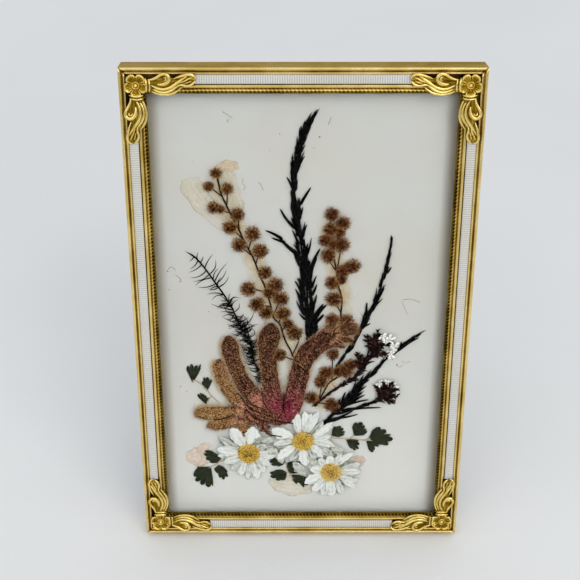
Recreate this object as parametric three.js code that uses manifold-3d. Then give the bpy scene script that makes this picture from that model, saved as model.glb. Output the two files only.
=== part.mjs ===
// Pressed flower picture in a stamped brass easel frame.
// Millimetres, +Z up. The frame stands on a surface at Z = 0, faces -Y and leans back.
// Its pieces are drawn in the plane of the face: x to the right, y up from the bottom edge, and z out of
// the face towards the viewer, with z = 0 at the rounded outer lip.

import * as THREE from 'three';
import { mergeVertices } from 'three/addons/utils/BufferGeometryUtils.js';
import Module from 'manifold-3d';

const wasm = await Module();
wasm.setup();

// ---------------------------------------------------------------- driving dimensions

const WIDTH = 100;            // outer width
const HEIGHT = 152;           // outer height along the face
const DEPTH = 7;              // outer wall, from the lip to the back edge
const SHEET = 0.5;            // thickness of the folded brass
const LEAN = 12;              // degrees that the face leans back
const OPENING = 22;           // degrees between the strut and the back
const MITRE_GAP = 0.15;       // each rail's share of the open mitre joint
const SLIP = 0.4;             // clearance of glass, card and board in the frame
const WELD = 1e-4;            // points closer than this are one point
const FLATNESS = 0.002;       // corners that stand out by less than this are left out

const GLASS = { back: -2.9, front: -1.9 };
const CARD = { back: -5.1, front: -4.7 };
const BOARD = { back: -6.3, front: -5.3 };

const LAYER_STEP = 0.185;     // pressed specimens lie in thin layers from the card up to the glass
const LAYER_THICKNESS = 0.13;
const FIRST_LAYER = CARD.front + 0.05;

// ---------------------------------------------------------------- materials

const finish = (color, roughness, metalness = 0) =>
  () => new THREE.MeshStandardMaterial({ color, roughness, metalness });

const brass = finish(0xb89a4e, 0.35, 1);
const steel = finish(0x9a948a, 0.4, 1);
const whiteStrip = finish(0xdedad2, 0.5);
const cardStock = finish(0xccc8c0, 0.9);
const blackBoard = finish(0x1c1a1a, 0.95);
const petalWhite = finish(0xf2f2f4, 0.8);
const pawFuzz = finish(0x97684c, 0.95);
const wattleFuzz = finish(0x7d5430, 0.95);
const needleBlack = finish(0x121214, 0.7);
const fernGreen = finish(0x20271d, 0.8);
const heathPurple = finish(0x3f2c2c, 0.85);
const leafGreen = finish(0x1f2419, 0.8);
const petalPale = finish(0xd4c8b4, 0.9);

function clearGlass() {
  return new THREE.MeshStandardMaterial({
    color: 0xe8eeec, roughness: 0.05, metalness: 0, transparent: true, opacity: 0.35,
  });
}

// ---------------------------------------------------------------- solids

const radians = THREE.MathUtils.degToRad;
const point = (x, y, z) => new THREE.Vector3(x, y, z);

// Closed solid between two outlines of matching points: straight sides and a flat cap at each end.
// flatten gives an outline's points in the plane in which its cap is filled.
function between(start, end, flatten) {
  const count = start.length;
  const faces = [];
  for (let i = 0; i < count; i += 1) {
    const next = (i + 1) % count;
    faces.push([i, next, count + next], [i, count + next, count + i]);
  }
  const outline = start.map(flatten);
  const clockwise = THREE.ShapeUtils.isClockWise(outline);
  for (const [a, b, c] of THREE.ShapeUtils.triangulateShape(outline, [])) {
    const [second, third] = clockwise ? [c, b] : [b, c];
    faces.push([a, third, second], [count + a, count + second, count + third]);
  }
  const points = [...start, ...end];
  const volume = faces.reduce((sum, [a, b, c]) => (
    sum + points[a].dot(points[b].clone().cross(points[c]))
  ), 0);
  const outward = volume > 0 ? faces : faces.map(([a, b, c]) => [a, c, b]);
  const geometry = new THREE.BufferGeometry();
  geometry.setAttribute('position', new THREE.Float32BufferAttribute(
    points.flatMap((p) => [p.x, p.y, p.z]), 3));
  geometry.setIndex(outward.flat());
  geometry.computeVertexNormals();
  return geometry;
}

// Box given by its lowest and highest corners.
function block([x0, y0, z0], [x1, y1, z1]) {
  const geometry = new THREE.BoxGeometry(x1 - x0, y1 - y0, z1 - z0);
  return geometry.translate((x0 + x1) / 2, (y0 + y1) / 2, (z0 + z1) / 2);
}

// Round bar along x or z.
function bar(radius, low, high, axis, [u, v], sides = 14) {
  const geometry = new THREE.CylinderGeometry(radius, radius, high - low, sides);
  if (axis === 'x') {
    return geometry.rotateZ(Math.PI / 2).translate((low + high) / 2, u, v);
  }
  return geometry.rotateX(Math.PI / 2).translate(u, v, (low + high) / 2);
}

// Body turned about z or x from a profile of [radius, position along the axis].
function turned(profile, axis, sides = 12) {
  const geometry = new THREE.LatheGeometry(profile.map(([r, along]) => new THREE.Vector2(r, along)), sides);
  return axis === 'x' ? geometry.rotateZ(-Math.PI / 2) : geometry.rotateX(Math.PI / 2);
}

function solid(geometry) {
  const bare = geometry.clone();
  bare.deleteAttribute('normal');
  bare.deleteAttribute('uv');
  const merged = mergeVertices(bare, WELD);
  return new wasm.Manifold(new wasm.Mesh({
    numProp: 3,
    vertProperties: new Float32Array(merged.attributes.position.array),
    triVerts: new Uint32Array(merged.index.array),
  }));
}

function surface(body) {
  const mesh = body.getMesh();
  const geometry = new THREE.BufferGeometry();
  geometry.setAttribute('position', new THREE.BufferAttribute(mesh.vertProperties, 3));
  geometry.setIndex(new THREE.BufferAttribute(mesh.triVerts, 1));
  geometry.computeVertexNormals();
  return geometry;
}

// Geometries joined in one body, with others cut away from it. Flat neighbours left by the joins are
// merged, so that the body keeps only the corners that its shape needs.
function joined(pieces, cuts = []) {
  let body = pieces.map(solid).reduce((whole, piece) => whole.add(piece));
  for (const cut of cuts) {
    body = body.subtract(solid(cut));
  }
  return surface(body.asOriginal().simplify(FLATNESS));
}

const face = new THREE.Group();      // everything that is drawn in the plane of the face
const leg = new THREE.Group();       // everything that swings with the strut

function place(name, geometry, material, group = face) {
  const mesh = new THREE.Mesh(geometry, material());
  mesh.name = name;
  group.add(mesh);
  return mesh;
}

// The four sides of the frame: a length of moulding is drawn along the bottom edge, then turned about
// the middle of the face into its place.
const SIDES = [
  { side: 'bottom', length: WIDTH, turn: 0 },
  { side: 'right', length: HEIGHT, turn: 90 },
  { side: 'top', length: WIDTH, turn: 180 },
  { side: 'left', length: HEIGHT, turn: 270 },
];

function onSide(geometry, { length, turn }) {
  const reach = length === WIDTH ? HEIGHT / 2 : WIDTH / 2;
  return geometry
    .translate(0, -reach, 0)
    .rotateZ(radians(turn))
    .translate(0, HEIGHT / 2, 0);
}

// Length of moulding from a profile of [distance in from the outer edge, z]. halfLength gives how far
// each of its lines reaches to either side.
function moulding(profile, halfLength) {
  const end = (sign) => profile.map(([inward, z]) => point(sign * halfLength(inward), inward, z));
  return between(end(-1), end(1), (p) => new THREE.Vector2(p.y, p.z));
}

// ---------------------------------------------------------------- brass rails

// Stamped strip: outer wall, rounded lip, groove, narrow ridge, channel for the white strip, broad ridge,
// fine groove and the corded inner edge, which drops towards the glass.
const RAIL_PROFILE = [
  [0, -DEPTH], [0, -0.45], [0.2, -0.12], [0.45, 0], [0.7, -0.12], [0.85, -0.45],
  [0.92, -0.75], [1.2, -0.75], [1.28, -0.35], [1.5, -0.2], [1.72, -0.35], [1.9, -0.75],
  [1.95, -1.2], [4.75, -1.2], [4.82, -0.9], [5, -0.55], [5.35, -0.5], [5.6, -0.7],
  [5.7, -0.95], [5.9, -0.95], [6.05, -0.6], [6.6, -0.45], [7.1, -0.8], [7.3, -1.2],
  [7.3, -1.65], [SHEET, -1.65], [SHEET, -DEPTH],
];
const TAB = { width: 6, reach: 5.5, back: -DEPTH, front: -6.6 };
const TAB_PLACES = { [WIDTH]: [0], [HEIGHT]: [-41, 41] };

for (const side of SIDES) {
  const tabs = TAB_PLACES[side.length].map((middle) => block(
    [middle - TAB.width / 2, SHEET / 2, TAB.back],
    [middle + TAB.width / 2, TAB.reach, TAB.front],
  ));
  const strip = moulding(RAIL_PROFILE, (inward) => side.length / 2 - inward - MITRE_GAP);
  const rail = joined([strip, ...tabs]);
  place(`rail_${side.side}`, onSide(rail, side), brass);
}

// ---------------------------------------------------------------- white ribbed strips

// Each strip lies in its rail's channel and ends square, just under the tips of the corner ornaments.
const STRIP_PROFILE = [[2.15, -1.0], [2.15, -0.7], [3.35, -0.5], [4.55, -0.7], [4.55, -1.0]];
const STRIP_END = 20.6;        // from the corner to the strip's end

for (const side of SIDES) {
  const strip = moulding(STRIP_PROFILE, () => side.length / 2 - STRIP_END);
  place(`insert_${side.side}`, onSide(strip, side), whiteStrip);
}

// ---------------------------------------------------------------- corner ornaments

// One arm's outline, along the edge from the corner and inwards from it: from the flower at the corner
// past the sweep of the scroll to the leaf's tip, and back past the curl. The other arm is its mirror
// image about the mitre.
const ORNAMENT_ARM = [
  [8.2, 7.1], [9.6, 7.2], [11.4, 7.6], [13.2, 7.5], [15.2, 6.7], [17, 5.5], [19, 5], [20.4, 4.4],
  [21.2, 3.2], [20, 2.1], [18.4, 1.8], [16.6, 2.6], [14.8, 2.5], [13.6, 1.6], [12.2, 1.4], [10.4, 2.3],
  [8.2, 3],
];
const ORNAMENT = { back: 0.1, front: 0.65 };
const ROSETTE = { middle: 4.8, radius: 3.3, front: 0.9, sides: 16 };

function ornament() {
  const mirrored = [...ORNAMENT_ARM].reverse().map(([along, across]) => [across, along]);
  const outline = new THREE.Shape([...ORNAMENT_ARM, [2.4, 2.4], ...mirrored, [7.2, 7.2]]
    .map(([x, y]) => new THREE.Vector2(x, y)));
  const plate = new THREE.ExtrudeGeometry(outline, {
    depth: ORNAMENT.front - ORNAMENT.back, bevelEnabled: false,
  }).translate(0, 0, ORNAMENT.back);
  const { middle, radius, front, sides } = ROSETTE;
  return joined([plate, bar(radius, ORNAMENT.back, front, 'z', [middle, middle], sides)]);
}

// The ornament is drawn at the bottom left corner. A copy across the face is mirrored, and its faces
// are turned round so that they still point outwards.
function mirroredCopy(geometry, acrossX, acrossY) {
  const copy = geometry.clone().scale(acrossX ? -1 : 1, acrossY ? -1 : 1, 1);
  if (acrossX !== acrossY) {
    const index = copy.index.array;
    for (let i = 0; i < index.length; i += 3) {
      [index[i], index[i + 1]] = [index[i + 1], index[i]];
    }
  }
  return copy.translate(acrossX ? WIDTH / 2 : -WIDTH / 2, acrossY ? HEIGHT : 0, 0);
}

const cornerOrnament = ornament();
for (const [vertical, atTop] of [['bottom', false], ['top', true]]) {
  for (const [horizontal, atRight] of [['left', false], ['right', true]]) {
    place(`corner_${vertical}_${horizontal}`, mirroredCopy(cornerOrnament, atRight, atTop), brass);
  }
}

// ---------------------------------------------------------------- glass, card and board

const INSET = SHEET + SLIP;

function pane({ back, front }) {
  return block([INSET - WIDTH / 2, INSET, back], [WIDTH / 2 - INSET, HEIGHT - INSET, front]);
}

place('glass', pane(GLASS), clearGlass);
place('mount_card', pane(CARD), cardStock);

// ---------------------------------------------------------------- hinge and strut

const PIN = { y: 110, z: -8.9, radius: 0.6, reach: 8 };
const BORE = 0.9;             // pin hole in the ears and in the leaf's knuckle
const RIVET = {
  shank: 0.8, hole: 1.1, head: 1.6, headHeight: 0.5,
  shy: 0.05,                  // how far the shank's end stays below the board's face
  lift: 0.15,                 // air under the head
};
const PLATE = { halfWidth: 7.4, low: -3, high: 7, back: -7, front: -6.5 };
const EAR = { inner: 6.3, outer: 6.9, radius: 1.8 };
const BRACKET_RIVETS = { x: 4.2, y: 4.6 };

const STRUT = { topHalf: 9, shoulderHalf: 11.5, footHalf: 18, top: -3.2, shoulder: -12, front: 0.95, back: -0.65 };
const LEAF = { halfWidth: 5.8, low: -14, front: -0.95, back: -1.4, knuckle: 1.4 };
const TONGUE = { halfWidth: 2.6, high: 2.8, back: 0.1, front: 0.55 };
const STRUT_RIVETS = { upper: -7, lower: -11 };

const HOLE_SIDES = 12;
const holesForBracket = [-1, 1].map((sign) => bar(
  RIVET.hole, PLATE.back - SHEET, BOARD.front + SHEET, 'z',
  [sign * BRACKET_RIVETS.x, PIN.y + BRACKET_RIVETS.y], HOLE_SIDES,
));
place('back_board', joined([pane(BOARD)], holesForBracket), blackBoard);

function hingeBracket() {
  const plate = block([-PLATE.halfWidth, PIN.y + PLATE.low, PLATE.back],
    [PLATE.halfWidth, PIN.y + PLATE.high, PLATE.front]);
  const ears = [-1, 1].flatMap((sign) => {
    const [low, high] = [sign * EAR.inner, sign * EAR.outer].sort((a, b) => a - b);
    return [
      block([low, PIN.y - EAR.radius, PIN.z], [high, PIN.y + EAR.radius, PLATE.front - SHEET / 2]),
      bar(EAR.radius, low, high, 'x', [PIN.y, PIN.z]),
    ];
  });
  const bore = bar(BORE, -PIN.reach, PIN.reach, 'x', [PIN.y, PIN.z]);
  return joined([plate, ...ears], [bore, ...holesForBracket]);
}

place('hinge_bracket', hingeBracket(), steel);

// Pin with a small head peened over at each end, outside the ears.
const PIN_HEAD = { inner: 7.2, radius: 1.2 };
const pinProfile = [
  [0, -PIN.reach], [PIN_HEAD.radius, -PIN.reach], [PIN_HEAD.radius, -PIN_HEAD.inner],
  [PIN.radius, -PIN_HEAD.inner], [PIN.radius, PIN_HEAD.inner],
  [PIN_HEAD.radius, PIN_HEAD.inner], [PIN_HEAD.radius, PIN.reach], [0, PIN.reach],
];
place('hinge_pin', turned(pinProfile, 'x').translate(0, PIN.y, PIN.z), steel);

// Rivet along z: a shank from the far face, and a round head standing behind the near one.
function rivet(shankEnd, headBase) {
  const tip = headBase - RIVET.headHeight;
  return turned([
    [0, tip], [RIVET.head * 0.75, (headBase + tip) / 2], [RIVET.head, headBase],
    [RIVET.shank, headBase], [RIVET.shank, shankEnd], [0, shankEnd],
  ], 'z');
}

for (const [name, sign] of [['bracket_rivet_left', -1], ['bracket_rivet_right', 1]]) {
  const geometry = rivet(BOARD.front - RIVET.shy, PLATE.back - RIVET.lift);
  place(name, geometry.translate(sign * BRACKET_RIVETS.x, PIN.y + BRACKET_RIVETS.y, 0), steel);
}

// The leg's own axes have the pin at their origin and y along the strut. The foot is cut level.
const FOOT_ANGLE = radians(OPENING - LEAN);
const pinAboveFloor = PIN.y * Math.cos(radians(LEAN)) + (PIN.z + DEPTH) * Math.sin(radians(LEAN));
const footAt = (z) => (z * Math.sin(FOOT_ANGLE) - pinAboveFloor) / Math.cos(FOOT_ANGLE);

function strutOutline(z) {
  const half = [
    [STRUT.topHalf, STRUT.top], [STRUT.shoulderHalf, STRUT.shoulder], [STRUT.footHalf, footAt(z)],
  ];
  return [...half, ...half.map(([x, y]) => [-x, y]).reverse()].map(([x, y]) => point(x, y, z));
}

const strutBoard = between(strutOutline(STRUT.back), strutOutline(STRUT.front),
  (p) => new THREE.Vector2(p.x, p.y));
const holesForStrut = Object.values(STRUT_RIVETS).map((y) => bar(
  RIVET.hole, LEAF.back - SHEET, STRUT.front + SHEET, 'z', [0, y], HOLE_SIDES,
));
place('strut', joined([strutBoard], holesForStrut), blackBoard, leg);

const knuckle = bar(LEAF.knuckle, -LEAF.halfWidth, LEAF.halfWidth, 'x', [0, 0], 16);
const leafPlate = block([-LEAF.halfWidth, LEAF.low, LEAF.back], [LEAF.halfWidth, 0, LEAF.front]);
const heel = block([-TONGUE.halfWidth, 0, TONGUE.back], [TONGUE.halfWidth, TONGUE.high, TONGUE.front]);
const leafBore = bar(BORE, -PIN.reach, PIN.reach, 'x', [0, 0]);
place('strut_leaf', joined([knuckle, leafPlate, heel], [leafBore, ...holesForStrut]), steel, leg);

for (const [which, y] of Object.entries(STRUT_RIVETS)) {
  const geometry = rivet(STRUT.front - RIVET.shy, LEAF.back - RIVET.lift);
  place(`strut_rivet_${which}`, geometry.translate(0, y, 0), steel, leg);
}

// ---------------------------------------------------------------- pressed specimens

// A specimen is a flat piece in one layer between card and glass, joined from simple outlines.
// Outlines are given by points [x, y] on the card, and stems by their middle line.
function inLayer(layer, outlines) {
  const plates = outlines.map((outline) => {
    const shape = new THREE.Shape(outline.map(([x, y]) => new THREE.Vector2(x, y)));
    return new THREE.ExtrudeGeometry(shape, { depth: LAYER_THICKNESS, bevelEnabled: false });
  });
  return joined(plates).translate(0, 0, FIRST_LAYER + layer * LAYER_STEP);
}

function disc([x, y], radius, sides = 8) {
  return Array.from({ length: sides }, (_, i) => {
    const angle = (i / sides) * 2 * Math.PI;
    return [x + radius * Math.cos(angle), y + radius * Math.sin(angle)];
  });
}

// Ribbon along a middle line, as wide as widths says at each of its points.
function ribbon(line, widths) {
  const wide = (i) => (Array.isArray(widths) ? widths[i] : widths) / 2;
  const sides = line.map(([x, y], i) => {
    const [ax, ay] = line[Math.max(i - 1, 0)];
    const [bx, by] = line[Math.min(i + 1, line.length - 1)];
    const span = Math.hypot(bx - ax, by - ay);
    const [nx, ny] = [-(by - ay) / span, (bx - ax) / span];
    return { left: [x + nx * wide(i), y + ny * wide(i)], right: [x - nx * wide(i), y - ny * wide(i)] };
  });
  return [...sides.map((s) => s.right), ...sides.map((s) => s.left).reverse()];
}

// Narrow leaf from its base to its tip.
function needle([x0, y0], [x1, y1], width) {
  const [mx, my] = [(x0 + x1) / 2, (y0 + y1) / 2];
  const blunt = 0.3;
  return ribbon([[x0, y0], [mx, my], [x1, y1]], [width, width, width * blunt]);
}

function specimen(name, layer, outlines, material) {
  place(name, inLayer(layer, outlines), material);
}

// ------------------------------- pale petals, next to the card

const PALE_PETALS = {
  pale_petal_upper: [[-23.6, 122.2], [-21.4, 124.9], [-18.8, 123.2], [-17.6, 117.5], [-17.2, 111.5],
    [-19.8, 109.4], [-22.4, 114.4]],
  pale_petal_veined: [[-29.6, 121.4], [-26.2, 121.6], [-24.2, 114.2], [-22.6, 106.2], [-21.4, 99.4],
    [-24.4, 99.6], [-27.6, 105.2], [-29.6, 112.4]],
  pale_petal_pink: [[-36.1, 27.6], [-35.2, 30.2], [-31.9, 30.2], [-30.2, 31.6], [-28.9, 29.4],
    [-30.4, 24.8], [-33.4, 23.4], [-35.6, 24.6]],
  pale_petal_cream: [[-10.2, 18.2], [-8.4, 14.6], [-3.6, 12.4], [0.4, 13.4], [2.4, 15.8], [-1.2, 19.6],
    [-6.2, 21.2]],
  pale_petal_tan: [[14.6, 25.2], [17.6, 27.6], [20.6, 27.2], [20.6, 23.6], [17.2, 21.8], [14.2, 22.6]],
};

for (const [name, outline] of Object.entries(PALE_PETALS)) {
  specimen(name, 0, [outline], petalPale);
}

// ------------------------------- maidenhair sprigs

const MAIDENHAIR_STEM = 0.4;
const MAIDENHAIR_FOOT = 0.35;  // how far a leaflet's narrow foot reaches back into its stalk

// Fan-shaped leaflet: a narrow foot and a lobed outer edge, of the given reach and spread in degrees.
function fan([x, y], heading, reach, spread) {
  const lobes = 5;
  const [dx, dy] = [Math.cos(radians(heading)), Math.sin(radians(heading))];
  const half = MAIDENHAIR_STEM / 2;
  const foot = [-1, 1].map((sign) => (
    [x - MAIDENHAIR_FOOT * dx - sign * half * dy, y - MAIDENHAIR_FOOT * dy + sign * half * dx]
  ));
  const edge = Array.from({ length: lobes + 1 }, (_, i) => {
    const angle = radians(heading + spread * (i / lobes - 0.5));
    const length = reach * (i % 2 === 0 ? 1 : 0.93);
    return [x + length * Math.cos(angle), y + length * Math.sin(angle)];
  });
  return [foot[0], ...edge, foot[1]];
}

const MAIDENHAIR = {
  maidenhair_upper_left: {
    stem: [[-33.6, 54.6], [-32.2, 53.7], [-29.7, 51.6], [-28, 48.7], [-25.1, 45.8]],
    leaflets: [[[-33.6, 53.4], 88, 6.4, 52], [[-29.3, 50.4], 84, 5.2, 48], [[-29.7, 46.6], 128, 4.2, 56]],
    twigs: [[[-29.7, 51.6], [-29.3, 50.4]], [[-28, 48.7], [-29.7, 46.6]]],
  },
  maidenhair_lower_left: {
    stem: [[-30.4, 21.6], [-28.8, 22.4], [-27.6, 23.5], [-25.3, 24.5], [-23.6, 25.9]],
    leaflets: [[[-25.6, 24.4], 140, 5.4, 62], [[-28.9, 22.6], 238, 6.6, 62], [[-26.8, 23.85], 285, 4.8, 62]],
    twigs: [],
  },
  maidenhair_lower_middle: {
    stem: [[-5.6, 26.4], [-4.7, 23.4], [-4.3, 21.6], [-3.6, 19.6], [-2, 17.6]],
    leaflets: [[[-4.7, 24.6], 168, 6.2, 48], [[-4.4, 22.2], 22, 4.8, 70], [[-4.2, 21.4], 204, 5.2, 52],
      [[-3.8, 20.2], 310, 6.2, 46]],
    twigs: [],
  },
  maidenhair_right: {
    stem: [[5.6, 35.1], [9.4, 33.5], [12.1, 33.2], [15.5, 33.4], [19.4, 32.4], [20.9, 33.2], [22.8, 34.1]],
    leaflets: [[[9.8, 33.6], 52, 4.6, 60], [[16.3, 34.4], 52, 4.4, 80], [[21.4, 33.6], 8, 6.8, 50],
      [[15, 32.8], 298, 4, 72], [[20.6, 32.2], 316, 4.2, 62]],
    twigs: [[[15.5, 33.4], [16.3, 34.4]], [[14.4, 33.3], [15, 32.8]], [[19.4, 32.4], [20.6, 32.2]]],
  },
};

for (const [name, { stem, leaflets, twigs }] of Object.entries(MAIDENHAIR)) {
  const leaves = leaflets.map(([base, heading, reach, spread]) => fan(base, heading, reach, spread));
  const stalks = [stem, ...twigs].map((line) => ribbon(line, MAIDENHAIR_STEM));
  specimen(name, 1, [...stalks, ...leaves], leafGreen);
}

// ------------------------------- fern

const FERN_STEM = [[-34.3, 97.1], [-31.8, 95.5], [-29.7, 93.2], [-27.4, 89.8], [-25.5, 86.7], [-23.5, 83.6],
  [-22, 80.9], [-20.5, 77.8], [-18.9, 73.6], [-17.4, 70.5], [-15.8, 67.5], [-15.1, 63.6], [-14.3, 60],
  [-12.2, 55], [-11.5, 53.2]];
const FERN_NEEDLE = 0.3;
const FERN = { first: 0.04, last: 0.86, pairs: 10, reach: 4.6, angle: 52 };

// Pairs of fine needles up the stem, longest a third of the way down and shorter towards the base.
function fernNeedles() {
  const line = new THREE.CatmullRomCurve3(FERN_STEM.map(([x, y]) => point(x, y, 0)));
  const needles = [];
  for (let i = 0; i < FERN.pairs; i += 1) {
    const along = FERN.first + (FERN.last - FERN.first) * (i / (FERN.pairs - 1));
    const base = line.getPointAt(along);
    const back = line.getTangentAt(along).negate();
    const reach = FERN.reach * (0.55 + 0.45 * Math.sin(Math.PI * Math.min(1, along * 1.5)));
    for (const sign of [-1, 1]) {
      const heading = Math.atan2(back.y, back.x) + sign * radians(FERN.angle);
      const tip = [base.x + reach * Math.cos(heading), base.y + reach * Math.sin(heading)];
      needles.push(ribbon([[base.x, base.y], tip], FERN_NEEDLE));
    }
  }
  return needles;
}

specimen('fern_sprig', 1, [ribbon(FERN_STEM, 0.45), ...fernNeedles()], fernGreen);

// ------------------------------- dark needle sprays

// Each spray is a middle line with leaves pressed along it, and longer leaves that stand away from it.
const NEEDLE_SPRAYS = {
  needle_spray_tall: {
    line: [[4.2, 139.1], [2.3, 136.2], [0.8, 133.7], [-0.2, 130.6], [-1, 127.5], [-1.5, 124.5],
      [-2.2, 121.4], [-2.5, 119], [-2.3, 115.2], [-1.7, 110.6], [-1.5, 107.5], [-1, 103.7], [-0.2, 98.2],
      [0.2, 94], [0.9, 88.6], [1.5, 84.8], [1.6, 80.9], [2.1, 76.3], [3, 73.2], [2.8, 70.2], [1.5, 66.9]],
    widths: [0.3, 0.8, 1.2, 1.4, 1.4, 1.4, 1.4, 1.4, 1.5, 1.7, 1.9, 2, 2.1, 2.3, 3, 2.8, 2.8, 3.4, 3.6, 3, 0.6],
    leaves: [[[0.6, 133.4], [1.8, 137.2], 0.9], [[-0.3, 130.4], [-0.5, 134.9], 0.8],
      [[-2.5, 115.8], [-4.5, 120], 0.8], [[-0.8, 111.2], [2.5, 116.9], 1], [[-1.9, 104], [-6.4, 110.4], 1],
      [[-1, 96], [-7.2, 102.3], 1.2], [[-7, 102.2], [-10.8, 103.7], 0.9], [[2.4, 87.8], [5.3, 98.2], 1.1],
      [[0.3, 82.2], [-2.2, 87.8], 0.9], [[0.8, 78], [-1.4, 83.6], 0.8], [[2.6, 76.6], [4.1, 81.3], 0.9],
      [[3.4, 74.2], [7.4, 80], 1.6]],
  },
  needle_spray_middle: {
    line: [[25.9, 100.9], [25.7, 97.1], [24.9, 92.5], [24.2, 88.6], [22.7, 82.8], [20.9, 78.6], [19.2, 75.2],
      [17.8, 71.3], [15.5, 66.7], [12.8, 62.5], [10.2, 57.8]],
    widths: [0.3, 1, 1.2, 1.4, 2, 2, 1.8, 1.8, 1.3, 1.1, 0.7],
    leaves: [[[24.9, 91], [26.3, 92], 0.7], [[23.6, 85.6], [23.1, 88.2], 0.6], [[19.6, 76], [19.4, 80.8], 0.9],
      [[18, 72], [20.7, 73.7], 0.8]],
  },
  needle_spray_low: {
    line: [[36.5, 70.7], [32.5, 67.8], [29.8, 65.2], [27.8, 63.6], [25.5, 61.3], [22.5, 57.8], [20.2, 55.2],
      [17.8, 52.4], [15.9, 49.3], [14, 46.6], [11.3, 43.9], [8.2, 40.5], [4.6, 35.2]],
    widths: [0.3, 1.2, 1.3, 0.9, 1.1, 1.3, 1.5, 1.9, 2.4, 2.4, 2.2, 1.2, 0.5],
    leaves: [[[29.8, 65], [29.8, 67], 0.8], [[15.2, 45.8], [19.8, 49.2], 0.8], [[14, 45.4], [20.9, 47.4], 0.9],
      [[13.2, 44], [25, 44.6], 0.8], [[9.6, 40.6], [17.8, 42.2], 0.9], [[8.4, 39.2], [13.6, 41.4], 0.7]],
  },
};

for (const [name, { line, widths, leaves }] of Object.entries(NEEDLE_SPRAYS)) {
  const away = leaves.map(([base, tip, width]) => needle(base, tip, width));
  specimen(name, 2, [ribbon(line, widths), ...away], needleBlack);
}

// ------------------------------- wattle sprigs

// Round fuzzy flower heads [x, y, radius] on a wiry stem with short side stalks.
const WATTLE = {
  wattle_left: {
    stem: [[-24.4, 121.2], [-24.1, 119.5], [-23.3, 115], [-21.7, 111.2], [-20.2, 107.6], [-18.4, 104],
      [-17, 100.5], [-15.1, 96.6], [-13.7, 93.2], [-12.4, 89], [-11.2, 86.3], [-10.1, 82.5], [-9.3, 79.4],
      [-8.5, 75.5], [-6.6, 73.2], [-5.5, 69.4], [-4.5, 66.7], [-3.5, 64.8], [-2.4, 61.3], [-2.2, 58]],
    stalks: [[[-26.7, 117.2], [-23.1, 114]], [[-21.4, 116.5], [-21.6, 111.3]], [[-25.6, 110.8], [-20.8, 108.9]],
      [[-18.7, 108.7], [-18.2, 103.6]], [[-20.8, 104.8], [-17.3, 100.9]], [[-14.3, 102.7], [-15.6, 97.6]],
      [[-18.3, 99.2], [-15, 95.8]], [[-12.3, 97.3], [-13.6, 93]], [[-15.9, 85.2], [-10.5, 84]],
      [[-7.8, 86.5], [-10.2, 83]], [[-13.4, 80.3], [-9.2, 79]], [[-6.3, 81.9], [-8.6, 76.2]],
      [[-10.7, 77.5], [-8.5, 75.5]], [[-5.7, 77.1], [-7, 73.6]], [[-2.2, 70.7], [-0.8, 67.8]],
      [[-0.8, 67.8], [-2.9, 62.8]], [[-6.6, 63.2], [-2.4, 61]],
      [[-4.1, 73.7], [-6, 71.2]]],
    heads: [[-24.5, 121.2, 1.5], [-26.7, 117.2, 1.4], [-21.4, 116.5, 1.6], [-25.6, 110.8, 1.6],
      [-23.5, 110.4, 1.2], [-18.7, 108.7, 1.9], [-20.9, 104.7, 1.9], [-14.3, 102.7, 2.1], [-18.3, 99.2, 2],
      [-12.3, 97.3, 2.1], [-10.9, 90.5, 1.9], [-7.8, 86.5, 2.2], [-15.9, 85.2, 2.1], [-9.7, 84, 1.7],
      [-6.3, 81.9, 2.2], [-13.4, 80.3, 2.2], [-10.7, 77.5, 2], [-5.7, 77.1, 2.1], [-4.1, 73.7, 1.6],
      [-2.2, 70.7, 2.3], [-6.6, 63.2, 1.9]],
  },
  wattle_right: {
    stem: [[8.5, 108.7], [8, 104.4], [8.8, 101], [9, 97], [9.7, 93], [10.2, 90.4], [10.5, 88.2], [10.9, 85.5],
      [11.9, 81.7], [11.7, 77.1], [11.9, 73]],
    stalks: [[[11.7, 106], [8.4, 103]], [[11.5, 99], [10.2, 90.6]], [[15, 92.5], [10.4, 89.6]],
      [[9.4, 81.9], [11.7, 77]], [[9, 75.2], [11.8, 74]], [[13.2, 74.8], [11.8, 74]], [[15.2, 72], [12, 73.4]]],
    heads: [[8.5, 108.7, 1.9], [11.7, 106, 2], [8, 104.2, 1.8], [10.7, 103.1, 1.7], [6.8, 100.7, 1.9],
      [11.5, 99.2, 2.2], [9, 99.4, 1.7], [7.6, 95.8, 2.1], [12.1, 91, 1.9], [15, 92.6, 2], [8.9, 87.2, 1.9],
      [11.6, 88.2, 1.4], [9.4, 81.9, 2.2], [9, 75.2, 1.9], [13.2, 74.8, 2], [15.2, 71.9, 2]],
  },
  wattle_low: {
    stem: [[15, 59.7], [12.6, 56.4], [9.4, 54], [8.2, 52.8], [5.5, 47.4], [3, 44.6]],
    stalks: [[[9.4, 63.4], [9.4, 54]], [[7.5, 57], [6.4, 53], [5.4, 47.2]], [[3, 48.3], [4.4, 46]],
      [[9.2, 45.8], [4.6, 46.2]]],
    heads: [[15, 59.9, 1.9], [13.3, 57.8, 2.3], [11.2, 57.4, 1.6], [7.5, 57, 2.2], [5.9, 53.9, 1.9],
      [3, 48.3, 2], [9.2, 45.8, 2.2], [9.4, 63.4, 1.8]],
  },
};

for (const [name, { stem, stalks, heads }] of Object.entries(WATTLE)) {
  const wires = [ribbon(stem, 0.55), ...stalks.map((line) => ribbon(line, 0.35))];
  specimen(name, 3, [...wires, ...heads.map(([x, y, radius]) => disc([x, y], radius))], wattleFuzz);
}

// ------------------------------- small white heath sprigs

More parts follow.
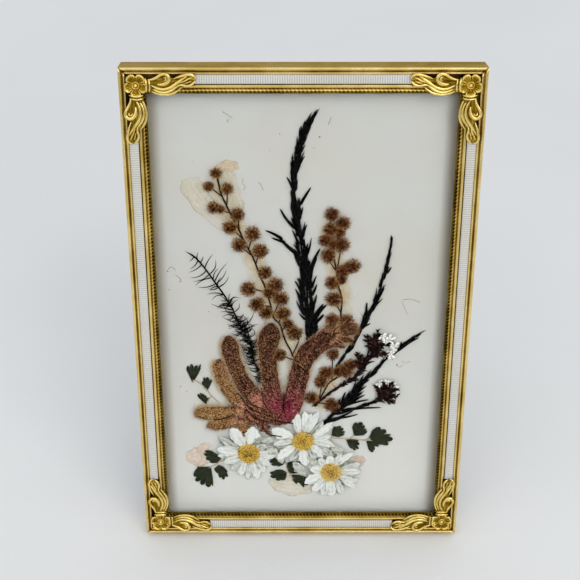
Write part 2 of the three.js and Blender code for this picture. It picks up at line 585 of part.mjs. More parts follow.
const HEATH = {
  heath_upper: {
    stem: [[22, 68.6], [21.3, 64], [19.2, 60.5], [17.1, 56.3], [11.3, 52], [6.7, 48.2], [3.8, 44.9]],
    widths: [3.2, 3.6, 3.6, 2.8, 1.4, 0.8, 0.5],
    leaves: [[[20.6, 67], [19.2, 69.8], 1.1], [[21.6, 67.6], [20.9, 70.8], 1.1], [[22.4, 67.4], [23.1, 71], 1.1],
      [[22, 65.6], [26.4, 66.8], 1.4], [[21.6, 63.6], [26.5, 63.9], 1.5], [[18.6, 60.2], [17, 63.4], 1.2]],
    flowers: [[[24.9, 68.8], 1.9], [[27.4, 67], 1.7], [[26.9, 63.8], 1.4], [[28.4, 65.4], 1.3]],
  },
  heath_lower: {
    stem: [[25.9, 49.7], [23.6, 47.4], [20.9, 46.2], [18, 44.9]],
    widths: [4.4, 2, 1, 0.7],
    leaves: [[[25, 50], [22.8, 52.6], 1.2], [[27, 50], [28.9, 52.6], 1.2], [[26, 49], [28.8, 47.6], 1.2]],
    flowers: [[[25.9, 50], 2.9]],
  },
};

for (const [name, { stem, widths, leaves, flowers }] of Object.entries(HEATH)) {
  const scales = leaves.map(([base, tip, width]) => needle(base, tip, width));
  const heads = flowers.map(([middle, radius]) => disc(middle, radius, 8));
  specimen(name, 4, [ribbon(stem, widths), ...scales, ...heads], heathPurple);
}

// ------------------------------- kangaroo paw flowers

// Fuzzy tubes, each a middle line from its tip to its base with the width at each point.
const PAW = {
  paw_base: {
    layer: 4,
    line: [[-17, 43.6], [-13.4, 42.6], [-9.6, 41.6], [-6.2, 41.8], [-3.4, 43.2]],
    widths: [3, 4.6, 5.6, 6.6, 5.6],
  },
  paw_bud: { layer: 4, line: [[-18, 33.8], [-18, 36.4], [-17.8, 40]], widths: [0.8, 3.4, 4.2] },
  paw_flower_outer: {
    layer: 5,
    line: [[-25.3, 61.4], [-25.6, 58.4], [-24.5, 54.6], [-22.2, 50.8], [-19.4, 47.6], [-15.4, 45.3], [-11.4, 43.2]],
    widths: [2.4, 6.4, 6, 5.6, 4.6, 3.2, 2.2],
  },
  paw_flower_low: {
    layer: 5,
    line: [[-29.8, 38.2], [-27, 38.5], [-23.4, 39.3], [-19.6, 40.6]], widths: [0.8, 3.2, 3.4, 2.2],
  },
  paw_flower_middle: {
    layer: 5,
    line: [[-9, 73.8], [-9.6, 70], [-10.5, 66], [-10.5, 62], [-9.6, 58], [-9, 54], [-8.2, 50], [-6.8, 46],
      [-5.4, 42.4]],
    widths: [4.4, 7, 6.6, 6, 5.4, 5.2, 5.4, 5.6, 4.6],
  },
  paw_flower_side: {
    layer: 6,
    line: [[-33.6, 43], [-31.6, 42.9], [-28, 42.5], [-24, 42.7], [-20, 43.2], [-16.8, 43.4]],
    widths: [1, 3.4, 4.9, 4.7, 4.2, 2.4],
  },
  paw_flower_inner: {
    layer: 6,
    line: [[-21.6, 69.8], [-21.2, 66.6], [-20.8, 62.8], [-19.6, 59], [-18, 55.6], [-16, 52], [-13.6, 48],
      [-11.2, 44.4]],
    widths: [2.8, 6.6, 6.8, 6.2, 5.6, 5, 4.4, 3.4],
  },
  paw_flower_right: {
    layer: 6,
    line: [[15.8, 71.4], [12.2, 70.6], [8.6, 69.4], [5.5, 67.2], [2.8, 65], [0.6, 61.8], [-0.8, 57.8],
      [-1.6, 53.8], [-2.4, 49.6], [-3.8, 45.6], [-4.6, 41.2]],
    widths: [5.4, 7, 6.6, 6.2, 6.2, 5.8, 5, 4.2, 4.6, 5, 4.6],
  },
};

for (const [name, { layer, line, widths }] of Object.entries(PAW)) {
  specimen(name, layer, [ribbon(line, widths)], pawFuzz);
}

// ------------------------------- daisies

// Pointed petal: narrow at the disc, widest two thirds of the way out.
function petal([x, y], heading, reach, width) {
  const [dx, dy] = [Math.cos(radians(heading)), Math.sin(radians(heading))];
  const stations = [[0.2, 0.5], [0.65, 1], [1, 0.12]];
  return ribbon(stations.map(([along]) => [x + dx * along * reach, y + dy * along * reach]),
    stations.map(([, share]) => share * width));
}

// Petals as [heading in degrees, reach from the middle], and the disc's radius.
const DAISY_PETAL = 3.2;
const DAISIES = {
  daisy_left: {
    layer: 6, middle: [-16.6, 28.2], disc: 3.7,
    petals: [[8, 9.4], [40, 9.2], [62, 9.6], [84, 9.4], [106, 9.6], [122, 10.2], [148, 11.4], [172, 11.2],
      [196, 9.6], [212, 8.8], [236, 8.8], [258, 9.8], [280, 9.4], [304, 9.2], [338, 8.6]],
  },
  daisy_middle: {
    layer: 7, middle: [0.5, 32.8], disc: 3.5,
    petals: [[24, 11.6], [52, 11.4], [66, 10.8], [84, 10.8], [100, 10.8], [118, 9.4], [158, 10.4], [188, 9.8],
      [216, 10], [238, 9.8], [264, 12], [284, 10.6], [318, 9.6], [344, 9]],
  },
  daisy_right: {
    layer: 8, middle: [9.5, 21.4], disc: 3.5,
    petals: [[0, 9.8], [30, 9.2], [52, 9.4], [88, 7], [128, 7.6], [160, 8.4], [190, 9], [210, 8.8],
      [234, 9.4], [258, 9.2], [286, 9.4], [312, 9.8], [336, 9.6]],
  },
};

for (const [name, { layer, middle, disc: radius, petals }] of Object.entries(DAISIES)) {
  const rays = petals.map(([heading, reach]) => petal(middle, heading, reach, DAISY_PETAL));
  specimen(name, layer, [disc(middle, radius, 12), ...rays], petalWhite);
}

// ---------------------------------------------------------------- the whole picture, standing

leg.position.set(0, PIN.y, PIN.z);
leg.rotation.x = radians(OPENING);
face.add(leg);

// The face is drawn upright, then stood on the floor on its lowest edge and on the strut's foot, with
// the middle of its footprint at the origin.
face.rotation.x = Math.PI / 2 - radians(LEAN);
face.position.z = DEPTH * Math.sin(radians(LEAN));
face.updateMatrixWorld(true);
const footprint = new THREE.Box3().setFromObject(face, true).getCenter(new THREE.Vector3());
face.position.y = -footprint.y;

const picture = new THREE.Group();
picture.add(face);

export default picture;
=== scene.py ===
import math

import bmesh
import bpy
import numpy as np
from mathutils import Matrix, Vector


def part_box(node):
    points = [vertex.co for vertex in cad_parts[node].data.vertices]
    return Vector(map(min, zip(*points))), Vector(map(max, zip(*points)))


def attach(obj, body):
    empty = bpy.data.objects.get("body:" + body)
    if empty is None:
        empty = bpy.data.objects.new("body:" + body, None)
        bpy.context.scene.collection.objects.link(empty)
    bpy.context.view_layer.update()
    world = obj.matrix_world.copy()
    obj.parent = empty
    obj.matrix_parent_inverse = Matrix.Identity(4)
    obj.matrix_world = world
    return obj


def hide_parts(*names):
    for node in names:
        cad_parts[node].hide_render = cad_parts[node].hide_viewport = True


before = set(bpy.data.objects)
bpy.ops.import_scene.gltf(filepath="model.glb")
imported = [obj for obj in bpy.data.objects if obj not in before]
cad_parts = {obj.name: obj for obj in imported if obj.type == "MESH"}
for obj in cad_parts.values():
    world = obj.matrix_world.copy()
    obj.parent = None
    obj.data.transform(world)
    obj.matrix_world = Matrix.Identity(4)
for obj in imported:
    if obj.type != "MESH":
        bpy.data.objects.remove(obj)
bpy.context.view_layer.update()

# ------------------------------------------------------------------ the frame on its table
# A pressed flower frame, 100 x 152 mm, that leans back 12 degrees on its easel strut.
# Everything in the frame is laid out in millimetres on its face: x to the right from the middle,
# y up from the bottom edge, and z out of the face from the rounded lip.
WIDTH, HEIGHT, DEPTH = 100.0, 152.0, 7.0
LEAN = math.radians(12)
CARD_MIDDLE_Z = -4.9

face_right = np.array([1.0, 0.0, 0.0])
face_up = np.array([0.0, math.sin(LEAN), math.cos(LEAN)])
face_out = np.array([0.0, -math.cos(LEAN), math.sin(LEAN)])
card_middle = np.mean(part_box("mount_card"), axis=0)


def on_face(points):
    """World metres: the card's middle + x * right + (y - half the height) * up + (z - card) * out."""
    x, y, z = np.moveaxis(np.asarray(points, float), -1, 0)[..., None]
    offset = x * face_right + (y - HEIGHT / 2) * face_up + (z - CARD_MIDDLE_Z) * face_out
    return card_middle + offset / 1000


EYE = (-3.80, 220.17, 296.10)      # on the face's own axes, mm
LOOK_DOWN = 36.28                  # degrees below the horizon
LOOK_ASIDE = -0.05

camera = bpy.data.objects.new("camera", bpy.data.cameras.new("camera"))
camera.data.lens = 68.96
camera.data.clip_start = 0.01
camera.location = on_face(EYE)
camera.rotation_euler = (math.radians(90 - LOOK_DOWN), 0, math.radians(LOOK_ASIDE))
bpy.context.collection.objects.link(camera)
bpy.context.scene.camera = camera


def paint(red, green, blue):
    """Linear colour, with alpha, of a colour given in display values from 0 to 255."""
    display = np.array([red, green, blue]) / 255
    linear = np.where(display > 0.04, ((display + 0.055) / 1.055) ** 2.4, display / 12.92)
    return (*linear.tolist(), 1.0)


def finish(name, **sockets):
    """New material whose shader has the given constant values. Returns it, its tree and its shader."""
    made = bpy.data.materials.new(name)
    made.use_nodes = True
    shader = made.node_tree.nodes["Principled BSDF"]
    for socket, value in sockets.items():
        shader.inputs[socket.replace("_", " ")].default_value = value
    return made, made.node_tree, shader


def node(tree, kind, inputs, **settings):
    """New node with its settings, and with each input set to a value or linked to another's output."""
    made = tree.nodes.new(kind)
    for setting, value in settings.items():
        setattr(made, setting, value)
    for socket, value in inputs.items():
        if isinstance(value, bpy.types.NodeSocket):
            tree.links.new(value, made.inputs[socket])
        else:
            made.inputs[socket].default_value = value
    return made


def noise(tree, scale, detail=3.0, stretch=(1, 1, 1)):
    """Cloudy values from 0 to 1, with scale clouds to the metre, drawn out by stretch."""
    place = node(tree, "ShaderNodeTexCoord", {}).outputs["Object"]
    spread = node(tree, "ShaderNodeMapping", {"Vector": place, "Scale": stretch}).outputs[0]
    return node(tree, "ShaderNodeTexNoise", {"Vector": spread, "Scale": scale, "Detail": detail}).outputs[0]


def ramp(tree, value, *stops):
    """Colour read off a scale of (position, colour) stops."""
    made = node(tree, "ShaderNodeValToRGB", {"Fac": value})
    scale = made.color_ramp.elements
    while len(scale) < len(stops):
        scale.new(1.0)
    for element, (position, colour) in zip(scale, stops):
        element.position = position
        element.color = colour
    return made.outputs["Color"]


def fitted(tree, value, low, high, from_low=0.0, from_high=1.0):
    """Value carried from one range to another and held inside it."""
    return node(tree, "ShaderNodeMapRange", {
        "Value": value, "From Min": from_low, "From Max": from_high, "To Min": low, "To Max": high,
    }).outputs[0]


def bumpy(tree, shader, height, distance, strength=1.0):
    """Fine relief on the shader's normal, distance metres deep where height goes from 0 to 1."""
    made = node(tree, "ShaderNodeBump", {"Height": height, "Distance": distance, "Strength": strength})
    tree.links.new(made.outputs[0], shader.inputs["Normal"])


def colour_of(tree, shader, colour, roughness=None):
    """Links a colour, and a roughness where one is given, to the shader."""
    tree.links.new(colour, shader.inputs["Base Color"])
    if roughness is not None:
        tree.links.new(roughness, shader.inputs["Roughness"])


table_paper, tree, shader = finish("table_paper", Roughness=0.6)
colour_of(tree, shader, ramp(tree, noise(tree, 6), (0.3, paint(228, 229, 228)),
                             (0.7, paint(234, 235, 234))))
bumpy(tree, shader, noise(tree, 900), 0.00004)

TABLE_HALF = 1.6
table = bpy.data.meshes.new("table")
corners = [(-TABLE_HALF, -TABLE_HALF, 0), (TABLE_HALF, -TABLE_HALF, 0),
           (TABLE_HALF, TABLE_HALF, 0), (-TABLE_HALF, TABLE_HALF, 0)]
table.from_pydata(corners, [], [(0, 1, 2, 3)])
table.materials.append(table_paper)
floor = bpy.data.objects.new("table", table)
bpy.context.collection.objects.link(floor)


def softbox(name, place, target, size, power, colour):
    """Square area light that faces a target point."""
    lamp = bpy.data.lights.new(name, "AREA")
    lamp.size = size
    lamp.energy = power
    lamp.color = colour
    made = bpy.data.objects.new(name, lamp)
    made.location = place
    made.rotation_euler = (Vector(target) - Vector(place)).to_track_quat("-Z", "Y").to_euler()
    bpy.context.collection.objects.link(made)


softbox("window", (0.6, -0.95, 0.95), (0, 0, 0.06), 0.8, 5.2, (1.0, 0.97, 0.92))
softbox("front", (-0.6, -1.2, 0.8), (0, 0, 0.06), 0.8, 2.2, (0.97, 0.99, 1.0))

# The room: bright above and dimmer towards the horizon.
ROOM_SKY = [(0.0, (0.30, 0.31, 0.33, 1)), (0.5, (0.34, 0.35, 0.37, 1)), (0.62, (0.55, 0.58, 0.63, 1)),
            (0.75, (0.95, 0.98, 1.03, 1)), (1.0, (1.06, 1.08, 1.12, 1))]
world = bpy.data.worlds.new("room")
world.use_nodes = True
tree = world.node_tree
upward = node(tree, "ShaderNodeTexCoord", {}).outputs["Generated"]
height = node(tree, "ShaderNodeSeparateXYZ", {"Vector": upward}).outputs["Z"]
sky = ramp(tree, fitted(tree, height, 0, 1, -1, 1), *ROOM_SKY)
tree.links.new(sky, tree.nodes["Background"].inputs["Color"])
tree.nodes["Background"].inputs["Strength"].default_value = 0.8
bpy.context.scene.world = world
bpy.context.scene.view_settings.view_transform = "Standard"

# ------------------------------------------------------------------ brass rails
# Four rails of thin stamped brass, mitred and open at the joints: an outer wall, a rounded lip, a groove
# and ridge, a channel for the white strip, a broad ridge and a corded inner edge. Their wall is folded
# round glass, card and board, and six tabs bent over at the back hold them in.
RAIL_THICKNESS = 0.5
MITRE_GAP = 0.15
LIP_RADIUS = 0.43
EDGE = 7.3                         # width of the moulding seen from the front
BACK_OF_FACE = -1.65
GROOVE_FLOOR, CHANNEL_FLOOR, INNER_FLOOR = -0.75, -1.2, -0.95
CHANNEL = (2.0, 4.75)
RIDGES = [(1.6, 0.36, 0.5), (5.25, 0.5, 0.5)]      # distance in from the edge, half width, height


def quads_of(count, rows, columns, wrap):
    """Quads of count equal grids of points. With wrap, each row's last point joins its first."""
    row = np.arange(rows - 1)[:, None] * columns
    column = np.arange(columns if wrap else columns - 1)[None, :]
    beside = (column + 1) % columns
    grid = np.stack([row + column, row + beside, row + columns + beside, row + columns + column], -1)
    start = np.arange(count)[:, None, None] * rows * columns
    return (grid.reshape(1, -1, 4) + start).reshape(-1, 4)


def plate(front, back, shade, tint=0.0):
    """Closed plate between two matching grids of points: the two faces and the rim between their edges."""
    rows, columns = front.shape[:2]
    index = np.arange(rows * columns).reshape(rows, columns)
    edge = np.concatenate([index[0, :-1], index[:-1, -1], index[-1, :0:-1], index[:0:-1, 0]])
    after = np.roll(edge, -1)
    under = rows * columns
    sheet = quads_of(1, rows, columns, False)
    rim = np.stack([edge, edge + under, after + under, after], 1)
    quads = np.concatenate([sheet, sheet[:, ::-1] + under, rim])
    points = np.concatenate([front.reshape(-1, 3), back.reshape(-1, 3)])
    both = [np.concatenate([np.broadcast_to(value, index.shape).ravel()] * 2) for value in (shade, tint)]
    return points, quads, *both


def joined(parts):
    """Parts (points, quads, shade, tint) put together as one."""
    starts = np.cumsum([0] + [len(part[0]) for part in parts[:-1]])
    quads = np.concatenate([part[1] + start for part, start in zip(parts, starts)])
    points, shade, tint = (np.concatenate([part[i] for part in parts]) for i in (0, 2, 3))
    return points, quads, shade, tint


WELD = 2e-7                        # metres, closes seams and poles


def piece(name, part, material, node_name=None, body="frame"):
    """One finished piece: the part's mesh in the world, welded, with its faces turned outwards, its shade
    and tint carried at each point, set under its body, and with the CAD node that it stands for hidden."""
    points, quads, shade, tint = part
    mesh = bpy.data.meshes.new(name)
    mesh.vertices.add(len(points))
    mesh.vertices.foreach_set("co", on_face(points).astype(np.float32).ravel())
    mesh.loops.add(quads.size)
    mesh.loops.foreach_set("vertex_index", quads.astype(np.int32).ravel())
    mesh.polygons.add(len(quads))
    mesh.polygons.foreach_set("loop_start", np.arange(0, quads.size, 4, dtype=np.int32))
    mesh.update(calc_edges=True)
    for word, values in (("shade", shade), ("tint", tint)):
        mesh.attributes.new(word, "FLOAT", "POINT").data.foreach_set("value", values.astype(np.float32))
    work = bmesh.new()
    work.from_mesh(mesh)
    bmesh.ops.remove_doubles(work, verts=work.verts, dist=WELD)
    bmesh.ops.recalc_face_normals(work, faces=work.faces)
    work.to_mesh(mesh)
    work.free()
    mesh.polygons.foreach_set("use_smooth", np.ones(len(mesh.polygons), bool))
    mesh.materials.append(material)
    made = bpy.data.objects.new(name, mesh)
    bpy.context.collection.objects.link(made)
    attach(made, body)
    if node_name:
        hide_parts(node_name)


LENGTHS = {"bottom": WIDTH, "top": WIDTH, "left": HEIGHT, "right": HEIGHT}


def on_side(side, along, inward, z):
    """Face millimetres of a place that is so far along a rail from its middle and in from its edge."""
    along, inward, z = np.broadcast_arrays(along, inward, z)
    x, y = {
        "bottom": (along, inward),
        "top": (-along, HEIGHT - inward),
        "left": (inward - WIDTH / 2, HEIGHT / 2 - along),
        "right": (WIDTH / 2 - inward, HEIGHT / 2 + along),
    }[side]
    return np.stack([x, y, z], -1)


def bulge(distance, half_width):
    """Height of a half-round ridge: the root of 1 - (distance / half width)^2, and 0 outside it."""
    return np.sqrt(np.clip(1 - (distance / half_width) ** 2, 0, None))


def rail_profile():
    """Front line of the moulding as (inward, z, hollow): the wall, a half circle for the lip, and then
    the floors with a half-round ridge at each place in RIDGES. Hollow is 1 at the bottom of the grooves. It
    is tarnish and painted shade: darkest in the grooves and channel, darker towards the back of the wall,
    and low on the lip and ridges, which it leaves light as painted highlights."""
    turn = np.linspace(math.pi, 0, 15)
    wall = np.array([[0, -DEPTH, 0.4], [0, -5.2, 0.28], [0, -3.6, 0.22], [0, -2.0, 0.2], [0, -1.0, 0.22]])
    lip = np.stack([LIP_RADIUS * (1 + np.cos(turn)), LIP_RADIUS * (np.sin(turn) - 1), 0.06 + 0 * turn], 1)
    inward = np.linspace(2 * LIP_RADIUS + 0.05, EDGE, 118)
    in_channel = (inward > CHANNEL[0]) & (inward < CHANNEL[1])
    floor = np.where(in_channel, CHANNEL_FLOOR, np.where(inward < CHANNEL[0], GROOVE_FLOOR, INNER_FLOOR))
    rise = sum(height * bulge(inward - middle, half) for middle, half, height in RIDGES)
    lit = sum(bulge(inward - middle, half * 1.15) for middle, half, _ in RIDGES)
    hollow = np.where(in_channel, 0.85, np.clip(0.68 - 0.62 * lit, 0.06, 1))
    return np.concatenate([wall, lip, np.stack([inward, floor + rise, hollow], 1)])


def rail(side):
    """Rail of folded sheet: its profile carried from mitre to mitre, where each line ends as far from the
    corner as it lies inward, with slow ripples a few hundredths of a millimetre high."""
    inward, z, hollow = rail_profile().T
    share = np.linspace(-1, 1, int(LENGTHS[side]) + 1)[:, None]
    along = share * (LENGTHS[side] / 2 - inward - MITRE_GAP)
    ripple = 0.018 * np.sin(along * 0.31 + inward) + 0.012 * np.sin(along * 0.83 - 2 * inward)
    front = on_side(side, along, inward, z + ripple * (z > CHANNEL_FLOOR))
    inside = np.clip(inward, RAIL_THICKNESS, None)
    behind = np.where(z < BACK_OF_FACE, z, BACK_OF_FACE)
    return plate(front, on_side(side, along, inside, behind), hollow)


TAB_PLACES = {WIDTH: [0.0], HEIGHT: [-41.0, 41.0]}
TAB_WIDTH, TAB_REACH, TAB_THICKNESS = 6.0, 5.4, 0.4
TAB_LEVEL, TAB_BEND = -6.4, 0.5    # where the bend starts on the wall, and its radius
TAB_ROUNDED = 3.4                  # reach at which the tongue starts to narrow


def tab(side, middle):
    """Tab cut from the wall and bent over the board: a quarter bend and then a flat tongue, which narrows
    towards its rounded end."""
    bend = np.linspace(0, math.pi / 2, 6)
    reach = np.concatenate([TAB_BEND * (1 - np.cos(bend)) + 0.05, np.linspace(0.9, TAB_REACH, 10)])
    depth = np.concatenate([TAB_LEVEL - TAB_BEND * np.sin(bend), np.full(10, TAB_LEVEL - TAB_BEND)])
    ease = np.clip((reach - TAB_ROUNDED) / (TAB_REACH - TAB_ROUNDED), 0, 1)
    half = TAB_WIDTH / 2 * np.sqrt(np.clip(1 - 0.75 * ease ** 2, 0, 1))
    across = np.linspace(-1, 1, 9)[None, :] * half[:, None]
    outer = on_side(side, middle + across, reach[:, None], depth[:, None] - 0.05)
    inner = on_side(side, middle + across, reach[:, None] + 0.02, depth[:, None] + TAB_THICKNESS - 0.05)
    return plate(outer, inner, 0.3)


ROPE_INWARD, ROPE_Z, ROPE_RADIUS = 6.54, -1.0, 0.68
ROPE_PITCH = 1.1
ROPE_STEP = 0.11


def rope(side):
    """Corded edge: a round bar with a rounded notch every pitch, deepest on its inner side, which leaves a
    light bead between each two. Radius = R * (1 - (0.1 + 0.4 * inner) * notch), where notch is
    exp(-(distance / 0.3 pitch)^2) and inner goes from 0 on the outer side to 1 on the inner side. Its
    shade is painted shade in the notches and along the inner side, so the beads stay light."""
    half = LENGTHS[side] / 2 - ROPE_INWARD
    along = np.arange(-half, half, ROPE_STEP)[:, None]
    turn = np.linspace(0, 2 * math.pi, 18, endpoint=False)[None, :]
    phase = along / ROPE_PITCH + 0.3 * np.cos(turn)
    notch = np.exp(-(np.abs(phase - np.round(phase)) / 0.3) ** 2)
    inner = np.clip((np.cos(turn - 0.2) - 0.1) / 0.3, 0, 1)
    closing = np.clip((half - np.abs(along)) / ROPE_STEP, 0, 1) ** 0.25
    radius = ROPE_RADIUS * (1 - (0.1 + 0.4 * inner) * notch) * closing
    inward = ROPE_INWARD + radius * np.cos(turn)
    z = ROPE_Z + radius * np.sin(turn)
    points = on_side(side, along + 0 * turn, inward, z).reshape(-1, 3)
    shade = np.clip(0.16 + notch * (0.25 + 1.0 * inner) + 0.3 * inner, 0, 1).ravel()
    return points, quads_of(1, len(along), turn.size, True), shade, 0 * shade


def carried(tree, name):
    """A value that the mesh carries at each point."""
    return node(tree, "ShaderNodeAttribute", {}, attribute_name=name).outputs["Fac"]


def reckon(tree, operation, first, second):
    """Sum, product or other arithmetic of two values."""
    made = node(tree, "ShaderNodeMath", {0: first, 1: second}, operation=operation)
    return made.outputs[0]


# The carried shade darkens the gilt as tarnish and as painted shade; where it is low it leaves painted
# highlights.
stamped_brass, tree, shader = finish("stamped_brass", Metallic=1.0, Specular_Tint=paint(250, 228, 176))
cloud = noise(tree, 130, 4)
tarnish_and_shade = reckon(tree, "ADD", carried(tree, "shade"), fitted(tree, cloud, -0.14, 0.2, 0.3, 0.7))
gilt = ramp(tree, tarnish_and_shade, (0.0, paint(241, 218, 150)), (0.22, paint(220, 190, 110)),
            (0.5, paint(164, 136, 58)), (0.8, paint(98, 76, 16)), (1.0, paint(28, 14, 4)))
grain = noise(tree, 2600, 2)
dull = reckon(tree, "ADD", fitted(tree, tarnish_and_shade, 0.24, 0.55), fitted(tree, grain, -0.05, 0.07))
colour_of(tree, shader, gilt, dull)
bumpy(tree, shader, grain, 0.00002, 0.6)

for side in LENGTHS:
    tabs = [tab(side, middle) for middle in TAB_PLACES[LENGTHS[side]]]
    piece(f"moulding_{side}", joined([rail(side), rope(side), *tabs]), stamped_brass,
          f"rail_{side}")

# ------------------------------------------------------------------ white strips
# A ribbed strip of cream-white plastic lies in each rail's channel, with a rib every 0.66 mm across it.
# It ends square, just under the tips of the corner ornaments.
STRIP_IN, STRIP_OUT, STRIP_BACK, STRIP_EDGE = 1.98, 4.56, -1.15, -0.62
STRIP_END = 20.6
RIB_PITCH, RIB_HEIGHT, STRIP_CROWN = 0.66, 0.09, 0.2


def ribbed_strip(side):
    """Height = edge + crown * (1 - across^2) + rib * |cos(pi * along / pitch)| * (1 - across^6), where
    across goes from -1 to 1."""
    half = LENGTHS[side] / 2 - STRIP_END
    along = np.linspace(-half, half, int(2 * half / RIB_PITCH * 10))[:, None]
    across = np.linspace(-1, 1, 11)[None, :]
    rib = np.abs(np.cos(math.pi * along / RIB_PITCH))
    z = STRIP_EDGE + STRIP_CROWN * (1 - across ** 2) + RIB_HEIGHT * rib * (1 - across ** 6)
    inward = (STRIP_IN + STRIP_OUT) / 2 + across * (STRIP_OUT - STRIP_IN) / 2
    front = on_side(side, along, inward, z)
    back = on_side(side, along, inward, STRIP_BACK + 0 * z)
    return plate(front, back, 1 - rib + 0 * across)


def blend(tree, share, first, second):
    """Two colours mixed, with share of the second one."""
    return node(tree, "ShaderNodeMix", {0: share, 6: first, 7: second}, data_type="RGBA").outputs[2]


white_plastic, tree, shader = finish("white_plastic", Roughness=0.42, Subsurface_Weight=0.08)
shader.inputs["Subsurface Radius"].default_value = (0.0006, 0.0005, 0.0004)
yellowing = fitted(tree, noise(tree, 60, 4), 0.0, 0.6, 0.35, 0.75)
aged = blend(tree, yellowing, paint(222, 221, 216), paint(212, 205, 186))
# Painted shade: the strip is darkened in the furrows between its ribs, where its shade value is high.
shade_between_ribs = reckon(tree, "MULTIPLY", carried(tree, "shade"), 0.62)
colour_of(tree, shader, blend(tree, shade_between_ribs, aged, paint(150, 145, 132)))
bumpy(tree, shader, noise(tree, 3000), 0.00001, 0.5)

for side in LENGTHS:
    piece(f"ribbed_strip_{side}", ribbed_strip(side), white_plastic, f"insert_{side}")

# ------------------------------------------------------------------ corner ornaments
# A cast brass mount is pinned over each mitre: a five-petalled rosette at the corner and, along both
# edges, a collar, a curled volute beside sweeping reeds, and a twisted leaf at the tip.
ORNAMENT_BACK = 0.1
ROSETTE_MIDDLE, ROSETTE_RADIUS = 4.75, 3.35
ROSETTE_TURN = 0.33                # radians


def flowing(points, count):
    """Points evenly spread along the smooth curve through the given ones. Between b and c, with a before
    and d after, it is b + f/2 (c - a + f (2a - 5b + 4c - d + f (3b - 3c + d - a))), f going from 0 to 1."""
    known = np.asarray(points, float)
    known = np.vstack([2 * known[0] - known[1], known, 2 * known[-1] - known[-2]])
    place = np.linspace(0, len(known) - 3.000001, count)
    i = place.astype(int)
    f = (place - i)[:, None]
    a, b, c, d = known[i], known[i + 1], known[i + 2], known[i + 3]
    return b + f / 2 * (c - a + f * (2 * a - 5 * b + 4 * c - d + f * (3 * b - 3 * c + d - a)))


def tubes(paths, widths, heights, sides, shade=0.0, tint=0.0):
    """Closed, more or less flattened tubes along many paths at once. Each ring is the path's point
    + across * width / 2 * cos(a) + up * height / 2 * sin(a), where across lies in the face, at right
    angles to the path. A width and height of zero close an end."""
    paths = np.asarray(paths, float)
    tangent = np.gradient(paths, axis=1)
    tangent /= np.linalg.norm(tangent, axis=2, keepdims=True) + 1e-12
    across = np.cross(tangent, [0.001, 0.0007, 1.0])
    across /= np.linalg.norm(across, axis=2, keepdims=True)
    up = np.cross(across, tangent)
    turn = np.linspace(0, 2 * math.pi, sides, endpoint=False)
    count, rows = paths.shape[:2]
    wide, high = (value if np.ndim(value) == 3 else np.broadcast_to(value, (count, rows))[..., None]
                  for value in (widths, heights))
    wide = wide / 2 * np.cos(turn)
    high = high / 2 * np.sin(turn)
    points = paths[:, :, None] + across[:, :, None] * wide[..., None] + up[:, :, None] * high[..., None]
    shape = (count, rows, sides)
    values = [np.broadcast_to(value, shape).ravel() for value in (shade, tint)]
    return points.reshape(-1, 3), quads_of(count, rows, sides, True), *values


# Reeds of one arm as (along the edge from the corner, in from it, width, height of the crest).
REEDS = {
    "volute": [(7.9, 3.3, 0.7, 0.5), (9.3, 3.1, 0.8, 0.6), (10.6, 2.5, 0.8, 0.7), (11.8, 1.75, 0.8, 0.8),
               (12.9, 1.6, 0.85, 0.85), (13.8, 2.3, 0.9, 0.9), (13.8, 3.4, 1.0, 0.95),
               (12.8, 4.25, 1.15, 0.9), (11.4, 4.5, 0.9, 0.75), (10.1, 4.25, 0.5, 0.55)],
    "curl": [(12.2, 2.5, 0.35, 0.5), (12.9, 2.6, 0.5, 0.6), (13.0, 3.2, 0.5, 0.6), (12.3, 3.6, 0.4, 0.5)],
    "first_reed": [(8.3, 4.0, 0.5, 0.45), (9.9, 5.2, 0.65, 0.65), (12.1, 5.75, 0.75, 0.8),
                   (14.2, 5.2, 0.8, 0.85), (16.0, 4.0, 0.85, 0.9), (17.6, 2.9, 0.8, 0.85),
                   (19.0, 2.1, 0.5, 0.7)],
    "second_reed": [(8.5, 5.0, 0.5, 0.4), (10.3, 6.2, 0.6, 0.55), (12.4, 6.65, 0.7, 0.7),
                    (14.3, 6.1, 0.75, 0.75), (15.8, 5.1, 0.65, 0.7), (16.9, 4.4, 0.4, 0.6)],
    "third_reed": [(8.3, 6.0, 0.5, 0.35), (10.4, 7.0, 0.6, 0.4), (12.8, 7.3, 0.65, 0.45),
                   (14.8, 6.9, 0.65, 0.5), (16.3, 6.0, 0.5, 0.5), (17.4, 5.2, 0.35, 0.45)],
    "leaf_outer": [(14.7, 3.1, 0.4, 0.6), (16.2, 2.5, 0.6, 0.7), (17.9, 1.95, 0.7, 0.8),
                   (19.6, 1.75, 0.75, 0.8), (20.7, 2.3, 0.7, 0.7), (21.0, 3.2, 0.45, 0.5)],
    "leaf_inner": [(15.6, 5.0, 0.4, 0.5), (17.2, 4.6, 0.6, 0.6), (18.7, 4.9, 0.65, 0.65),
                   (20.1, 4.4, 0.7, 0.6), (20.9, 3.4, 0.45, 0.45)],
    "midrib": [(16.4, 4.1, 0.3, 0.6), (18.0, 3.5, 0.5, 0.75), (19.4, 2.75, 0.45, 0.75),
               (20.4, 2.6, 0.25, 0.6)],
    "vein": [(17.6, 4.3, 0.2, 0.55), (18.9, 3.9, 0.35, 0.65), (20.0, 3.4, 0.25, 0.6)],
    "collar": [(7.45, 2.7, 0.4, 0.4), (7.6, 3.6, 0.6, 0.75), (7.7, 4.8, 0.65, 0.85), (7.6, 6.0, 0.6, 0.7),
               (7.45, 6.8, 0.4, 0.35)],
    "second_collar": [(8.35, 2.9, 0.35, 0.35), (8.5, 3.8, 0.5, 0.6), (8.6, 4.9, 0.55, 0.7),
                      (8.5, 6.0, 0.5, 0.55), (8.35, 6.7, 0.35, 0.3)],
}
REED_STATIONS, REED_SIDES = 26, 12

